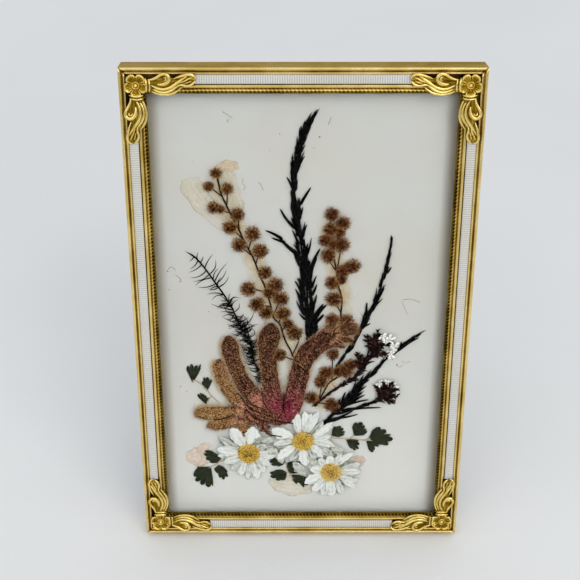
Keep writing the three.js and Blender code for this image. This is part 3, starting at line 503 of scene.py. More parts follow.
# Edges of the arm's thin ground between the reeds, as (along, inwards).
GROUND_OUTER = [(6, 3.2), (8.2, 3.2), (10.4, 2.5), (12.2, 1.5), (13.6, 1.9), (14.8, 2.9), (16.6, 2.7),
                (18.4, 1.9), (20, 1.9), (21, 3.2)]
GROUND_INNER = [(6, 6.4), (8.2, 6.5), (9.6, 7), (11.4, 7.3), (13.2, 7.3), (15.2, 6.5), (17, 5.3), (19, 5),
                (20.2, 4.4), (21, 3.3)]


def arm():
    """One arm as (along, inwards, z): each reed is a half-round bead along its line, from the ground up
    to its crest, and the ground is a thin domed plate between its two edges. The reeds carry a painted
    highlight on top and painted shade underneath, and the ground is painted darker between them."""
    lines = np.stack([flowing(line, REED_STATIONS) for line in REEDS.values()])
    taper = np.sin(np.linspace(0, math.pi, REED_STATIONS)) ** 0.35
    crest = lines[..., 3] * taper
    paths = np.concatenate([lines[..., :2], (ORNAMENT_BACK + 0.5 * crest)[..., None]], -1)
    up = np.sin(np.linspace(0, 2 * math.pi, REED_SIDES, endpoint=False))
    reeds = tubes(paths, lines[..., 2] * taper * 1.12, crest, REED_SIDES, shade=0.3 - 0.3 * up)
    along = np.linspace(GROUND_OUTER[0][0], GROUND_OUTER[-1][0], 46)[:, None]
    share = np.linspace(0, 1, 15)[None, :]
    outer, inner = (np.interp(along, *np.array(edge).T) for edge in (GROUND_OUTER, GROUND_INNER))
    inward = outer + (inner - outer) * share
    reeded = np.sin(inward * 7 + 1.5 * np.sin(along * 0.5))
    z = ORNAMENT_BACK + 0.16 + 0.2 * np.sin(math.pi * share) + 0.035 * reeded
    along = along + 0 * inward
    front = np.stack([along, inward, z], -1)
    back = np.stack([along, inward, 0 * z + ORNAMENT_BACK], -1)
    return joined([reeds, plate(front, back, 0.62 - 0.14 * reeded)])


def rosette():
    """Polar grid. The edge swells five times round, as 1 - 0.24 * (1 - |cos(2.5 * a)|)^1.6; each petal is a
    hollow cup with a raised rim and fine creases, and a ring and a round button stand in the middle. Its
    shade gives painted highlights on the rims, ring and button, and painted shade in the gaps between
    petals."""
    turn = np.linspace(0, 2 * math.pi, 131)[:, None]
    share = np.linspace(0, 1, 34)[None, :]
    wave = np.abs(np.cos(2.5 * (turn - ROSETTE_TURN)))
    edge = ROSETTE_RADIUS * (1 - 0.24 * (1 - wave) ** 1.6)
    radius = edge * share
    petal = np.clip((share - 0.3) / 0.7, 0, 1)
    rim = np.exp(-((petal - 0.86) / 0.17) ** 2)
    side_rim = np.exp(-((wave - 0.25) / 0.22) ** 2) * np.sin(math.pi * petal) ** 0.7
    crease = np.cos(22 * (turn - ROSETTE_TURN)) * np.exp(-((petal - 0.35) / 0.3) ** 2) * wave
    gap = np.exp(-(wave / 0.16) ** 2) * np.clip(share * 3 - 0.8, 0, 1)
    button = 0.42 * np.sqrt(np.clip(1 - (radius / 0.55) ** 2, 0, 1))
    button = button + 0.3 * np.exp(-((radius - 0.88) / 0.17) ** 2)
    cup = ORNAMENT_BACK + 0.3 + 0.38 * rim * wave ** 0.5 + 0.22 * side_rim + 0.05 * crease
    z = cup + button - 0.32 * gap
    z = ORNAMENT_BACK + (z - ORNAMENT_BACK) * np.clip((1 - share) / 0.05, 0, 1) ** 0.5
    x, y = (ROSETTE_MIDDLE + radius * part for part in (np.cos(turn), np.sin(turn)))
    hollow = np.clip(0.62 - 0.6 * rim - 0.35 * side_rim - 0.2 * crease - 1.6 * button + 0.5 * gap, 0, 1)
    return plate(np.stack([x, y, z], -1), np.stack([x, y, 0 * z + ORNAMENT_BACK], -1), hollow)


def at_corner(part, right, top):
    """A part drawn at the bottom left corner, mirrored to another one."""
    points, quads, shade, tint = part
    x = points[:, 0] - WIDTH / 2
    y = points[:, 1]
    points = np.stack([-x if right else x, HEIGHT - y if top else y, points[:, 2]], -1)
    return points, quads, shade, tint


# The carried shade darkens the gilt as tarnish and as painted shade in the recesses, and leaves painted
# highlights on the raised parts.
cast_brass, tree, shader = finish("cast_brass", Metallic=1.0, Specular_Tint=paint(250, 228, 176))
cloud = noise(tree, 420, 4)
tarnish_and_shade = reckon(tree, "ADD", carried(tree, "shade"), fitted(tree, cloud, -0.16, 0.2, 0.3, 0.7))
gilt = ramp(tree, tarnish_and_shade, (0.0, paint(250, 227, 142)), (0.28, paint(222, 187, 82)),
            (0.55, paint(156, 122, 28)), (0.9, paint(54, 32, 4)))
grain = noise(tree, 3200, 2)
dull = reckon(tree, "ADD", fitted(tree, tarnish_and_shade, 0.25, 0.5), fitted(tree, grain, -0.05, 0.07))
colour_of(tree, shader, gilt, dull)
bumpy(tree, shader, grain, 0.00003, 0.7)

along_the_edge = arm()
mirrored = (along_the_edge[0][:, [1, 0, 2]], *along_the_edge[1:])
ornament = joined([along_the_edge, mirrored, rosette()])
for top in (False, True):
    for right in (False, True):
        corner = f"{'top' if top else 'bottom'}_{'right' if right else 'left'}"
        piece(f"ornament_{corner}", at_corner(ornament, right, top), cast_brass,
              f"corner_{corner}")

# ------------------------------------------------------------------ glass and card
# A 1 mm pane lies against the rails' inner edge, and the mount card behind it. The card is off-white,
# lightly foxed, with a few paper fibres and specks caught on it.
clear_glass, tree, shader = finish("clear_glass", Roughness=0.0, IOR=1.07, Transmission_Weight=1.0)
shader.inputs["Base Color"].default_value = (0.99, 1.0, 0.99, 1.0)
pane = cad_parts["glass"]
pane.data.materials.clear()
pane.data.materials.append(clear_glass)
pane.visible_shadow = False

card_paper, tree, shader = finish("card_paper", Roughness=0.85)
foxing = fitted(tree, noise(tree, 28, 5), 0.0, 0.75, 0.42, 0.72)
blush = fitted(tree, noise(tree, 45, 3), 0.0, 0.5, 0.5, 0.75)
paper = blend(tree, foxing, paint(187, 187, 184), paint(185, 180, 169))
paper = blend(tree, blush, paper, paint(187, 179, 177))
place = node(tree, "ShaderNodeTexCoord", {}).outputs["Object"]
across, _, height = node(tree, "ShaderNodeSeparateXYZ", {"Vector": place}).outputs
# Painted light: the card is painted lighter towards the bottom.
paper = blend(tree, fitted(tree, height, 1, 0, 0.01, 0.075), paper, paint(202, 201, 197))
# Towards its side edges the card is browner: aged grime, and the painted shadow of the rails.
grime_and_rail_shadow = fitted(tree, reckon(tree, "ABSOLUTE", across, 0.0), 0, 0.75, 0.0396, 0.0428)
colour_of(tree, shader, blend(tree, grime_and_rail_shadow, paper, paint(132, 116, 88)))
bumpy(tree, shader, noise(tree, 1500, 5), 0.00003, 0.6)
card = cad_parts["mount_card"]
card.data.materials.clear()
card.data.materials.append(card_paper)

# Fibres and specks from the flowers have stuck to the card under the glass.
fleck_stain, tree, shader = finish("fleck_stain", Roughness=0.8, Alpha=0.4)
colour_of(tree, shader, ramp(tree, carried(tree, "shade"), (0.0, paint(196, 178, 140)),
                             (0.5, paint(150, 128, 100)), (1.0, paint(70, 58, 46))))
CARD_TOP = -4.66
FIBRES = [[(-22.4, 138.8), (-21, 137.9), (-19.4, 136.7)], [(7.9, 137.3), (7.5, 136), (7.0, 134.8)],
          [(29.8, 81.2), (31.6, 81.5), (33.8, 81.1), (35.4, 80.2)],
          [(29.8, 81.0), (30.6, 78.8), (31.8, 76.2)], [(-20.4, 136.6), (-21.0, 136.2), (-20.6, 135.6)],
          [(-12.6, 118.4), (-11.8, 117.2), (-11.2, 115.6)],
          [(-16.8, 119.4), (-17.2, 118), (-16.4, 116.8), (-17, 115.6)],
          [(17.4, 77.2), (18.0, 76.2), (18.6, 75.2)], [(-39.6, 91.2), (-38.4, 92.0), (-37.2, 90.8)],
          [(-37.4, 89.4), (-36.2, 88.4), (-35.8, 87.2)], [(29.0, 59.2), (30.0, 58.6), (31.2, 59.4)],
          [(30.6, 60.6), (31.8, 60.0), (33.2, 60.7)]]
SPECKS = [(4.7, 131.5, 0.3), (-39.6, 90.6, 0.3), (-39.5, 84.6, 0.22), (-36.2, 87.2, 0.2), (-28, 77.4, 0.2),
          (3.1, 128.2, 0.18), (-6.4, 132.3, 0.2), (1.6, 106.2, 0.14), (2.2, 102.4, 0.14), (3.4, 99.4, 0.12),
          (-9.4, 127.6, 0.16), (8.8, 93.2, 0.12), (29.2, 59.4, 0.3), (27.8, 61.2, 0.2), (-37.4, 51.8, 0.25),
          (-35.6, 50.2, 0.2), (16.6, 83.2, 0.15), (-31, 124.6, 0.14)]
FIBRE_STATIONS, SPECK_STATIONS = 20, 7
fibre_paths = np.stack([flowing(line, FIBRE_STATIONS) for line in FIBRES])
fibre_paths = np.concatenate([fibre_paths, np.full((len(FIBRES), FIBRE_STATIONS, 1), CARD_TOP)], -1)
fibre_width = 0.2 * np.clip(np.sin(np.linspace(0, math.pi, FIBRE_STATIONS)) * 5, 0, 1)
fibres = tubes(fibre_paths, fibre_width, 0.25 * fibre_width, 6, shade=0.1)
place, size = np.array(SPECKS)[:, :2], np.array(SPECKS)[:, 2:]
speck_along = np.linspace(-1, 1, SPECK_STATIONS)
speck_paths = place[:, None] + size[:, :, None] * (speck_along[None, :, None] * [[[0.8, 0.6]]])
speck_paths = np.concatenate([speck_paths, np.full((len(SPECKS), SPECK_STATIONS, 1), CARD_TOP)], -1)
speck_width = 1.4 * size * np.sqrt(1 - speck_along ** 2)
specks = tubes(speck_paths, speck_width, 0.12 * speck_width, 8, shade=0.7)
piece("card_flecks", joined([fibres, specks]), fleck_stain)

# ------------------------------------------------------------------ pale petals
# Five faded petals, dried to thin, half-clear skins, are glued flat to the card under everything else.
# Each is a blade about its own middle line. Veins and side edges are browner and less clear.
FIRST_LEVEL, LEVEL_STEP = -4.62, 0.185     # the lowest layer on the card, and from each layer to the next
PALE_PETALS = {                            # blades of each, their middle lines as (x, y, width)
    "upper": [[(-24.8, 120.8, 1.6), (-23.4, 122.4, 2.6), (-21.2, 123.1, 3.4), (-19.2, 122.8, 2.8),
               (-18.2, 122.1, 0.8)],
              [(-22.8, 122.0, 2.0), (-21.7, 119, 5.6), (-20.7, 114.6, 6.0), (-19.0, 110.6, 4.8),
               (-17.6, 107.6, 1.4)]],
    "veined": [[(-32.0, 119.2, 5.2), (-31.4, 116.8, 6.6), (-29.4, 113.2, 6.4), (-26.2, 109.0, 5.4),
                (-22.4, 104.9, 3.6), (-18.9, 101.2, 0.8)]],
    "pink": [[(-36.4, 24.8, 1.6), (-35.0, 25.6, 5.6), (-32.8, 26.2, 7.4), (-30.4, 27.2, 6.2),
              (-28.6, 28.2, 2.0)],
             [(-32.6, 28.4, 1.2), (-31.4, 29.8, 2.8), (-29.6, 30.6, 2.4), (-28.6, 30.8, 0.8)]],
    "cream": [[(-10.4, 17.2, 1.6), (-7.8, 16.6, 5.6), (-4, 15.6, 7.8), (0.2, 15.2, 6.8), (3.4, 15.0, 4.2),
               (5.0, 15.0, 1.2)]],
    "tan": [[(13.0, 23.2, 1.6), (15.4, 23.8, 3.4), (18.0, 24.6, 4.4), (20.2, 25.8, 2.0)]],
}


def level(layer):
    """Height of a layer of specimens on the face's own z axis: the lowest one's + layer * step."""
    return FIRST_LEVEL + LEVEL_STEP * layer


def blade(line, rows, columns, height, relief, thickness=0.05, frill=0.0, shade=0.0, tint=0.0):
    """Thin leaf or petal about a middle line of (x, y, width): point = middle + normal * across * width / 2
    and z = height + relief(along, across). Frill ripples the edge. It thins to nothing at the rim."""
    middle = flowing(line, rows)
    forward = np.gradient(middle[:, :2], axis=0)
    forward /= np.linalg.norm(forward, axis=1, keepdims=True)
    normal = np.stack([-forward[:, 1], forward[:, 0]], 1)
    along = np.linspace(0, 1, rows)[:, None]
    across = np.linspace(-1, 1, columns)[None, :]
    half = np.clip(middle[:, 2:3], 0, None) / 2
    half = half * (1 + frill * np.sin(along * 23 + 3 * np.sign(across)) * np.abs(across))
    flat = middle[:, None, :2] + normal[:, None] * (across * half)[..., None]
    z = height + relief(along, across) + 0 * across
    rim = np.clip((1 - np.abs(across)) * 8, 0, 1) * np.clip(np.minimum(along, 1 - along) * 24, 0, 1)
    front = np.concatenate([flat, z[..., None]], -1)
    back = np.concatenate([flat, (z - thickness * rim)[..., None]], -1)
    values = [value(along, across) if callable(value) else value for value in (shade, tint)]
    return plate(front, back, *values)


def vein(along, across):
    """0.5 on fine veins that run out from the petal's foot, 1 at its sides, else 0."""
    fine = 0.5 * np.exp(-(np.abs(np.sin(8 * across + 0.4 * np.sin(9 * along))) / 0.22) ** 2)
    return np.maximum(fine, np.abs(across) ** 20)


petal_skin, tree, shader = finish("petal_skin", Roughness=0.7)
mottle = noise(tree, 500, 4)
skin = ramp(tree, carried(tree, "tint"), (0.0, paint(202, 176, 138)), (0.25, paint(212, 201, 172)),
            (0.5, paint(222, 203, 186)), (1.0, paint(204, 180, 150)))
spotted = blend(tree, fitted(tree, mottle, 0, 0.4, 0.45, 0.75), skin, paint(188, 170, 140))
colour_of(tree, shader, blend(tree, fitted(tree, carried(tree, "shade"), 0, 0.5), spotted,
                              paint(164, 134, 98)))
density = ramp(tree, carried(tree, "tint"), (0.0, paint(190, 190, 190)), (0.2, paint(114, 114, 114)),
               (0.35, paint(112, 112, 112)), (0.5, paint(168, 168, 168)))
density = reckon(tree, "ADD", density, fitted(tree, carried(tree, "shade"), 0, 0.3))
cover = reckon(tree, "MULTIPLY", density, fitted(tree, noise(tree, 300, 4), 0.5, 1.5, 0.35, 0.65))
tree.links.new(cover, shader.inputs["Alpha"])
bumpy(tree, shader, mottle, 0.00005)

PETAL_TINTS = {"upper": [0.1, 0.25], "veined": [0.25], "pink": [0.5, 0.5], "cream": [0.3], "tan": [0.6]}


def slow_wave(along, across):
    """Height of a petal that has dried nearly flat."""
    return 0.03 * np.sin(9 * along + 5 * across)


for name, lines in PALE_PETALS.items():
    petals = [blade(line, 50, 49, level(0.3 * i), slow_wave, frill=0.08, shade=vein, tint=tint)
              for i, (line, tint) in enumerate(zip(lines, PETAL_TINTS[name]))]
    piece(f"faded_petal_{name}", joined(petals), petal_skin, f"pale_petal_{name}")

# ------------------------------------------------------------------ maidenhair sprigs
# Maidenhair fern: fan-shaped leaflets, nearly black when pressed, on hair-thin pale stalks. Each leaflet
# is a thin fan with rounded lobes along its outer edge.
MAIDENHAIR = {     # each leaflet is its foot, and then points along its outer edge
    "upper_left": {
        "stem": [(-34.0, 54.4), (-32.2, 53.7), (-29.7, 51.6), (-28, 48.7), (-25.1, 45.8)],
        "leaflets": [
            [(-33.6, 53.2), (-35.5, 58.4), (-34.1, 59.9), (-32.4, 59.4), (-30.7, 59.7), (-31.2, 57.2)],
            [(-29.2, 50.2), (-30.9, 52.8), (-30.2, 55.1), (-28.9, 55.3), (-27.5, 54.2), (-28.2, 52.6)],
            [(-29.7, 45.6), (-32.7, 48.9), (-31.2, 49.8), (-29.7, 48.9), (-28.5, 47.4)]],
        "twigs": [[(-33.0, 54.2), (-33.5, 53.6)], [(-29.7, 51.6), (-29.3, 50.2)],
                  [(-28, 48.7), (-29.5, 46.2)]],
    },
    "lower_left": {
        "stem": [(-30.0, 22.2), (-28.8, 22.6), (-27.6, 23.5), (-25.3, 24.9), (-23.6, 25.9)],
        "leaflets": [
            [(-25.2, 26.2), (-27.2, 23.7), (-29.5, 24.5), (-30.7, 26.5), (-30.9, 28.4), (-29.0, 29.1),
             (-27.3, 27.3)],
            [(-28.8, 22.8), (-33.9, 22.8), (-34.6, 18.6), (-33.2, 16.6), (-31.0, 15.3), (-28.6, 15.0),
             (-28.2, 17.4)],
            [(-26.2, 23.6), (-28.2, 21.8), (-27.0, 20.2), (-26.2, 18.6), (-25.0, 17.8), (-23.6, 18.9),
             (-23.5, 20.8), (-24.6, 22.6)]],
        "twigs": [[(-25.8, 24.8), (-25.3, 26.0)], [(-26.8, 24.1), (-26.3, 23.5)]],
    },
    "lower_middle": {
        "stem": [(-5.6, 26.4), (-4.9, 24.2), (-4.5, 21.8), (-3.6, 19.8), (-2, 17.6)],
        "leaflets": [
            [(-4.9, 25.2), (-7.6, 27.0), (-11.9, 26.7), (-10.3, 25.1), (-9.8, 23.7), (-8.0, 22.7),
             (-5.8, 23.2)],
            [(-4.7, 21.8), (-4.4, 24.4), (-2.4, 24.8), (-0.5, 24.5), (0.2, 22.8), (-1.2, 21.9),
             (-1.0, 20.6), (-3.2, 19.8)],
            [(-4.5, 20.6), (-6.4, 21.9), (-9.5, 21.0), (-10.1, 19.4), (-8.7, 17.9), (-6.8, 17.3),
             (-5.0, 17.7)],
            [(-3.2, 19.9), (-2.6, 17.0), (-1.4, 16.1), (0.1, 16.2), (0.8, 14.8), (2.3, 15.8), (2.1, 18.4),
             (-0.4, 19.6)]],
        "twigs": [],
    },
    "right": {
        "stem": [(5.6, 35.1), (9.4, 33.5), (12.1, 33.2), (15.5, 33.2), (19.4, 32.6), (20.9, 33.0),
                 (22.0, 33.6)],
        "leaflets": [
            [(9.5, 34.2), (9.7, 36.9), (10.8, 37.9), (12.8, 37.6), (13.4, 36.3), (13.8, 35.0),
             (12.4, 33.6)],
            [(16.6, 34.2), (15.8, 38.0), (17.4, 39.4), (19.5, 38.8), (20.1, 37.1), (20.8, 36.3),
             (20.3, 34.4)],
            [(21.2, 33.2), (22.5, 37.0), (24.4, 37.5), (26.3, 36.7), (27.3, 35.1), (28.6, 34.4),
             (28.8, 32.5), (27.4, 30.8), (25.8, 30.5)],
            [(14.1, 32.9), (17.7, 33.2), (18.4, 31.6), (18.1, 29.2), (16.6, 28.9), (15.1, 30.1)],
            [(20.5, 32.5), (24.4, 32.2), (24.9, 30.5), (23.5, 29.8), (23.2, 28.3), (21.6, 28.5),
             (21.1, 30.4)]],
        "twigs": [[(15.5, 33.4), (16.6, 34.4)], [(13.4, 33.3), (14.3, 32.8)], [(19.4, 32.4), (20.6, 32.5)]],
    },
}
LOBES = 5


def fan_leaf(foot, *edge):
    """Fan from its foot to its outer edge: point = foot + (edge - foot) * reach, notched between its lobes.
    Reach = along * (1 - 0.26 * along^3 * notch) and notch = 1 - |sin(pi * lobes * across + drift)|^0.4,
    where drift makes the lobes uneven. Veins run out along it."""
    along = np.linspace(0.03, 1, 22)[:, None]
    across = np.linspace(0, 1, 73)[None, :]
    outline = flowing(edge, 73)
    drift = 0.5 * np.sin(5 * across + edge[0][0])
    notch = 1 - np.abs(np.sin(math.pi * LOBES * across + drift)) ** 0.4
    reach = along * (1 - 0.26 * notch * along ** 3)
    x = foot[0] + (outline[:, 0] - foot[0]) * reach
    y = foot[1] + (outline[:, 1] - foot[1]) * reach
    veins = np.cos(across * 44)
    z = level(1.4) + 0.05 * np.sin(7 * across + 3 * along) + 0.012 * veins
    rim = np.clip(np.minimum(across, 1 - across) * 14, 0, 1) * np.clip((1 - along) * 12, 0, 1)
    front = np.stack([x, y, z], -1)
    back = np.stack([x, y, z - 0.06 * rim], -1)
    return plate(front, back, 0.5 + 0.5 * veins, np.clip(1 - 9 * along, 0, 1) + 0 * across)


def wires(lines, width, height, count=14, shade=0.0, tint=0.0):
    """Thin round stalks along lines of (x, y), all at one height, with closed ends."""
    paths = np.stack([flowing(line, count) for line in lines])
    paths = np.concatenate([paths, np.full((len(lines), count, 1), height)], -1)
    girth = width * np.clip(np.sin(np.linspace(0, math.pi, count)) * 6, 0, 1)
    return tubes(paths, girth, girth * 0.8, 7, shade=shade, tint=tint)


dark_leaf, tree, shader = finish("dark_leaf", Roughness=0.7, Specular_IOR_Level=0.08)
mottle = noise(tree, 900, 4)
green = ramp(tree, mottle, (0.3, paint(18, 23, 14)), (0.55, paint(33, 38, 24)), (0.8, paint(54, 57, 36)))
veined = blend(tree, fitted(tree, carried(tree, "shade"), 0, 0.25), green, paint(60, 66, 44))
colour_of(tree, shader, blend(tree, carried(tree, "tint"), veined, paint(172, 160, 132)))
bumpy(tree, shader, mottle, 0.00006)

for name, sprig in MAIDENHAIR.items():
    fans = [fan_leaf(*leaflet) for leaflet in sprig["leaflets"]]
    stalks = wires([sprig["stem"], *sprig["twigs"]], 0.3, level(1.2), tint=1.0)
    piece(f"maidenhair_sprig_{name}", joined([stalks, *fans]), dark_leaf,
          f"maidenhair_{name}")

# ------------------------------------------------------------------ fern sprig
# A wiry sprig of fine needles, bare and comb-like at its tip and tangled further down.
FERN_STEM = [(-34.3, 97.1), (-31.8, 95.5), (-29.7, 93.2), (-27.4, 89.8), (-25.5, 86.7), (-23.5, 83.6),
             (-22, 80.9), (-20.5, 77.8), (-18.9, 73.6), (-17.4, 70.5), (-15.8, 67.5), (-15.1, 63.6),
             (-14.3, 60), (-12.2, 55), (-11.5, 53.2)]
FERN_NEEDLES = [   # the needles that stand clear, as foot, tip and sideways bow
    ((-31.2, 94.2), (-30.3, 96.8), 0.1), ((-30.2, 93.2), (-29.0, 95.6), -0.1),
    ((-28.8, 91.4), (-26.0, 96.2), 0.06), ((-27.4, 89.6), (-25.4, 94.5), -0.16),
    ((-25.9, 87.4), (-21.9, 93.5), 0.05), ((-25.4, 86.6), (-22.3, 91.3), -0.1),
    ((-24.6, 85.6), (-21.6, 89.2), -0.12), ((-24.9, 86.0), (-23.9, 88.8), 0.1),
    ((-26.4, 88.0), (-24.6, 91.6), 0.12), ((-31.9, 95.1), (-33.2, 93.8), 0.1),
    ((-30.9, 93.8), (-33.1, 91.3), 0.1), ((-30.0, 92.6), (-33.5, 90.3), 0.08),
    ((-28.4, 90.6), (-33.3, 88.6), 0.14), ((-27.6, 89.4), (-32.3, 87.4), 0.12),
    ((-27.0, 88.4), (-31.8, 85.8), -0.1), ((-26.2, 86.2), (-31.0, 85.6), 0.1),
    ((-25.4, 85.6), (-27.3, 84.1), -0.2), ((-25.2, 85.4), (-28.0, 85.2), 0.2),
    ((-24.2, 82.4), (-28.4, 83.1), -0.12), ((-23.2, 77.1), (-27.2, 80.2), 0.05),
    ((-20, 70), (-22.6, 72.7), -0.1), ((-17, 72.8), (-14.2, 78.0), -0.12),
    ((-16, 71.3), (-12.8, 73.5), 0.1), ((-16.2, 65.6), (-19.4, 67.4), 0.2),
    ((-15.6, 62.0), (-18.6, 64.6), 0.2), ((-14.8, 59.6), (-17.8, 61.2), 0.2),
    ((-13.4, 57.0), (-16.4, 58.6), 0.2), ((-12.6, 55.2), (-15.6, 56.2), 0.15)]
FERN_TANGLE = 260
FERN_STATIONS = 200
fern_random = np.random.default_rng(11)


def bent(feet, tips, bow, width, count=7, shade=0.0, flatness=0.7, sides=5, point=0.6):
    """Many tapering needles: point = foot + (tip - foot) * t + sideways * bow * sin(pi * t), and the width
    falls off as (1 - t)^point towards the tip."""
    feet, tips = np.asarray(feet, float), np.asarray(tips, float)
    share = np.linspace(0, 1, count)
    reach = tips - feet
    aside = np.stack([-reach[:, 1], reach[:, 0], 0 * reach[:, 0]], 1)
    bow = np.broadcast_to(bow, len(feet))[:, None]
    paths = feet[:, None] + reach[:, None] * share[:, None]
    paths = paths + (aside * bow)[:, None] * np.sin(math.pi * share)[:, None]
    taper = np.clip(1 - share, 0, 1) ** point * np.clip(share * 12, 0, 1) ** 0.5
    girth = np.broadcast_to(width, len(feet))[:, None] * taper
    return tubes(paths, girth, girth * flatness, sides, shade=shade)


def at_level(points, height):
    """Points (x, y) raised to a height, or each to its own."""
    points = np.asarray(points, float)
    return np.column_stack([points, np.broadcast_to(height, len(points))])


fern_line = flowing(FERN_STEM, FERN_STATIONS)
place = fern_random.beta(2.2, 1.2, FERN_TANGLE) * 0.64 + 0.34
spot = (place * (FERN_STATIONS - 1)).astype(int)
feet = fern_line[spot]
ahead = np.arctan2(*(fern_line[np.clip(spot - 3, 0, FERN_STATIONS - 1)] - feet + 1e-9).T[::-1])
lean = fern_random.choice([-1, 1], FERN_TANGLE) * fern_random.uniform(0.3, 1.6, FERN_TANGLE)
growth = np.interp(place, [0.33, 0.6, 0.8, 1], [0.95, 1.1, 0.85, 0.6])
reach = fern_random.uniform(1.4, 4.4, FERN_TANGLE) * growth
tips = feet + reach[:, None] * np.stack([np.cos(ahead + lean), np.sin(ahead + lean)], 1)
height = level(1) + fern_random.uniform(0, 0.35, FERN_TANGLE)
tangle = bent(at_level(feet, height), at_level(tips, height + 0.05),
              fern_random.uniform(-0.45, 0.45, FERN_TANGLE), 0.36)
clear_feet, clear_tips, clear_bow = zip(*FERN_NEEDLES)
apart = np.linalg.norm(np.array(clear_feet)[:, None] - fern_line[None, :, :2], axis=2)
clear_feet = fern_line[apart.argmin(1)]
clear = bent(at_level(clear_feet, level(1)), at_level(clear_tips, level(1)), clear_bow, 0.38, count=12)

wiry_needle, tree, shader = finish("wiry_needle", Roughness=0.7, Specular_IOR_Level=0.03)
colour_of(tree, shader, ramp(tree, noise(tree, 700, 3), (0.3, paint(2, 2, 1)), (0.8, paint(13, 12, 7))))
bumpy(tree, shader, noise(tree, 2500), 0.00004)
piece("fern_needles", joined([wires([FERN_STEM], 0.5, level(1.2), 80), clear, tangle]), wiry_needle,
      "fern_sprig")

# ------------------------------------------------------------------ dark needle sprays
# Three sprays of overlapping needle leaves, pressed close along a twig and dried nearly black. Longer
# leaves stand away from it.
# Each has its middle line as (x, y, width of the pressed leaves), and its standing leaves as foot, tip
# and width.
NEEDLE_SPRAYS = {
    "tall": {
        "line": [(4.2, 139.1, 0.3), (2.3, 136.2, 0.8), (0.8, 133.7, 1.2), (-0.2, 130.6, 1.4),
                 (-1, 127.5, 1.4), (-1.5, 124.5, 1.4), (-2.2, 121.4, 1.4), (-2.5, 119, 1.4),
                 (-2.3, 115.2, 1.5), (-1.7, 110.6, 1.7), (-1.5, 107.5, 2.1), (-1, 103.7, 2.4),
                 (-0.2, 98.2, 2.9), (0.2, 94, 3.3), (0.9, 88.6, 3.8), (1.5, 84.8, 3.8), (1.6, 80.9, 3.5),
                 (2.1, 76.3, 4.0), (3, 73.2, 4.6), (2.8, 70.2, 3.6), (1.5, 66.9, 0.8)],
        "leaves": [((0.6, 133.4), (1.8, 137.2), 0.9), ((-0.3, 130.4), (-0.5, 134.9), 0.8),
                   ((-1.1, 126.0), (0.7, 129.4), 0.7), ((-2.5, 115.8), (-4.5, 120), 0.8),
                   ((-0.8, 111.2), (2.5, 116.9), 1), ((-1.9, 104), (-6.4, 110.4), 1),
                   ((-1, 96), (-7.2, 102.3), 1.3), ((-5.6, 100.8), (-10.8, 103.7), 1.0),
                   ((-4.8, 99.8), (-8.9, 101.4), 0.9), ((2.0, 89.4), (5.3, 98.2), 1.2),
                   ((2.4, 87.8), (4.4, 95.2), 1.2), ((0.3, 82.2), (-2.2, 87.8), 0.9),
                   ((0.8, 78), (-1.4, 83.6), 0.8), ((2.6, 76.6), (4.1, 81.3), 0.9),
                   ((3.4, 74.2), (7.4, 80), 1.4), ((3.2, 73.2), (6.6, 76.8), 1.3),
                   ((3.6, 75.2), (6.4, 80.2), 1.2)],
        "count": 260, "length": (3.0, 6.5),
    },
    "middle": {
        "line": [(25.9, 100.9, 0.3), (25.6, 97.1, 0.6), (24.8, 92.5, 0.7), (24.0, 88.6, 0.8),
                 (22.5, 82.8, 1.2), (20.8, 78.6, 1.3), (19.1, 75.2, 1.2), (17.6, 71.3, 1.1),
                 (15.4, 66.7, 0.9), (12.8, 62.5, 0.8), (10.2, 57.8, 0.7)],
        "leaves": [((24.9, 90), (26.3, 92.2), 0.7), ((23.6, 85.6), (23.1, 88.2), 0.6),
                   ((19.6, 76), (19.4, 80.8), 0.9), ((18, 72), (20.7, 73.7), 0.8),
                   ((24.2, 88), (25.6, 92.4), 0.7), ((22, 80), (23.4, 83.6), 0.8),
                   ((16, 68), (17.4, 70.6), 0.6)],
        "count": 120, "length": (2.5, 6.0),
    },
    "low": {
        "line": [(36.5, 70.7, 0.3), (32.5, 67.8, 0.8), (29.8, 65.2, 0.9), (27.8, 63.6, 0.7),
                 (25.5, 61.3, 0.7), (22.5, 57.8, 0.9), (20.2, 55.2, 1.1), (17.8, 52.4, 1.4),
                 (15.9, 49.3, 1.9), (14, 46.6, 2.1), (11.3, 43.9, 2.0), (8.2, 40.5, 1.2), (4.6, 35.2, 0.5)],
        "leaves": [((29.8, 65), (30.2, 67.6), 0.8), ((31.5, 66.6), (35.6, 69.0), 0.7),
                   ((15.2, 45.8), (19.8, 49.2), 0.9), ((14, 45.4), (20.9, 47.4), 0.9),
                   ((13.2, 44), (25, 44.6), 0.9), ((12, 43.4), (21.6, 44.6), 0.9),
                   ((9.6, 40.6), (17.8, 42.2), 0.9), ((8.4, 39.2), (13.6, 41.4), 0.8),
                   ((7.4, 38.2), (12.4, 41.0), 0.8), ((16.0, 49.4), (19.4, 53.0), 0.8),
                   ((14.4, 46.0), (18.0, 50.6), 0.9), ((10.4, 42.0), (20.4, 46.6), 0.9),
                   ((8.0, 39.4), (16.4, 43.6), 1.0), ((12.6, 45.6), (13.6, 50.2), 0.9),
                   ((9.4, 42.6), (10.8, 46.4), 0.8)],
        "count": 150, "length": (2.5, 5.5),
    },
}
SPRAY_STATIONS = 300
needle_random = np.random.default_rng(23)


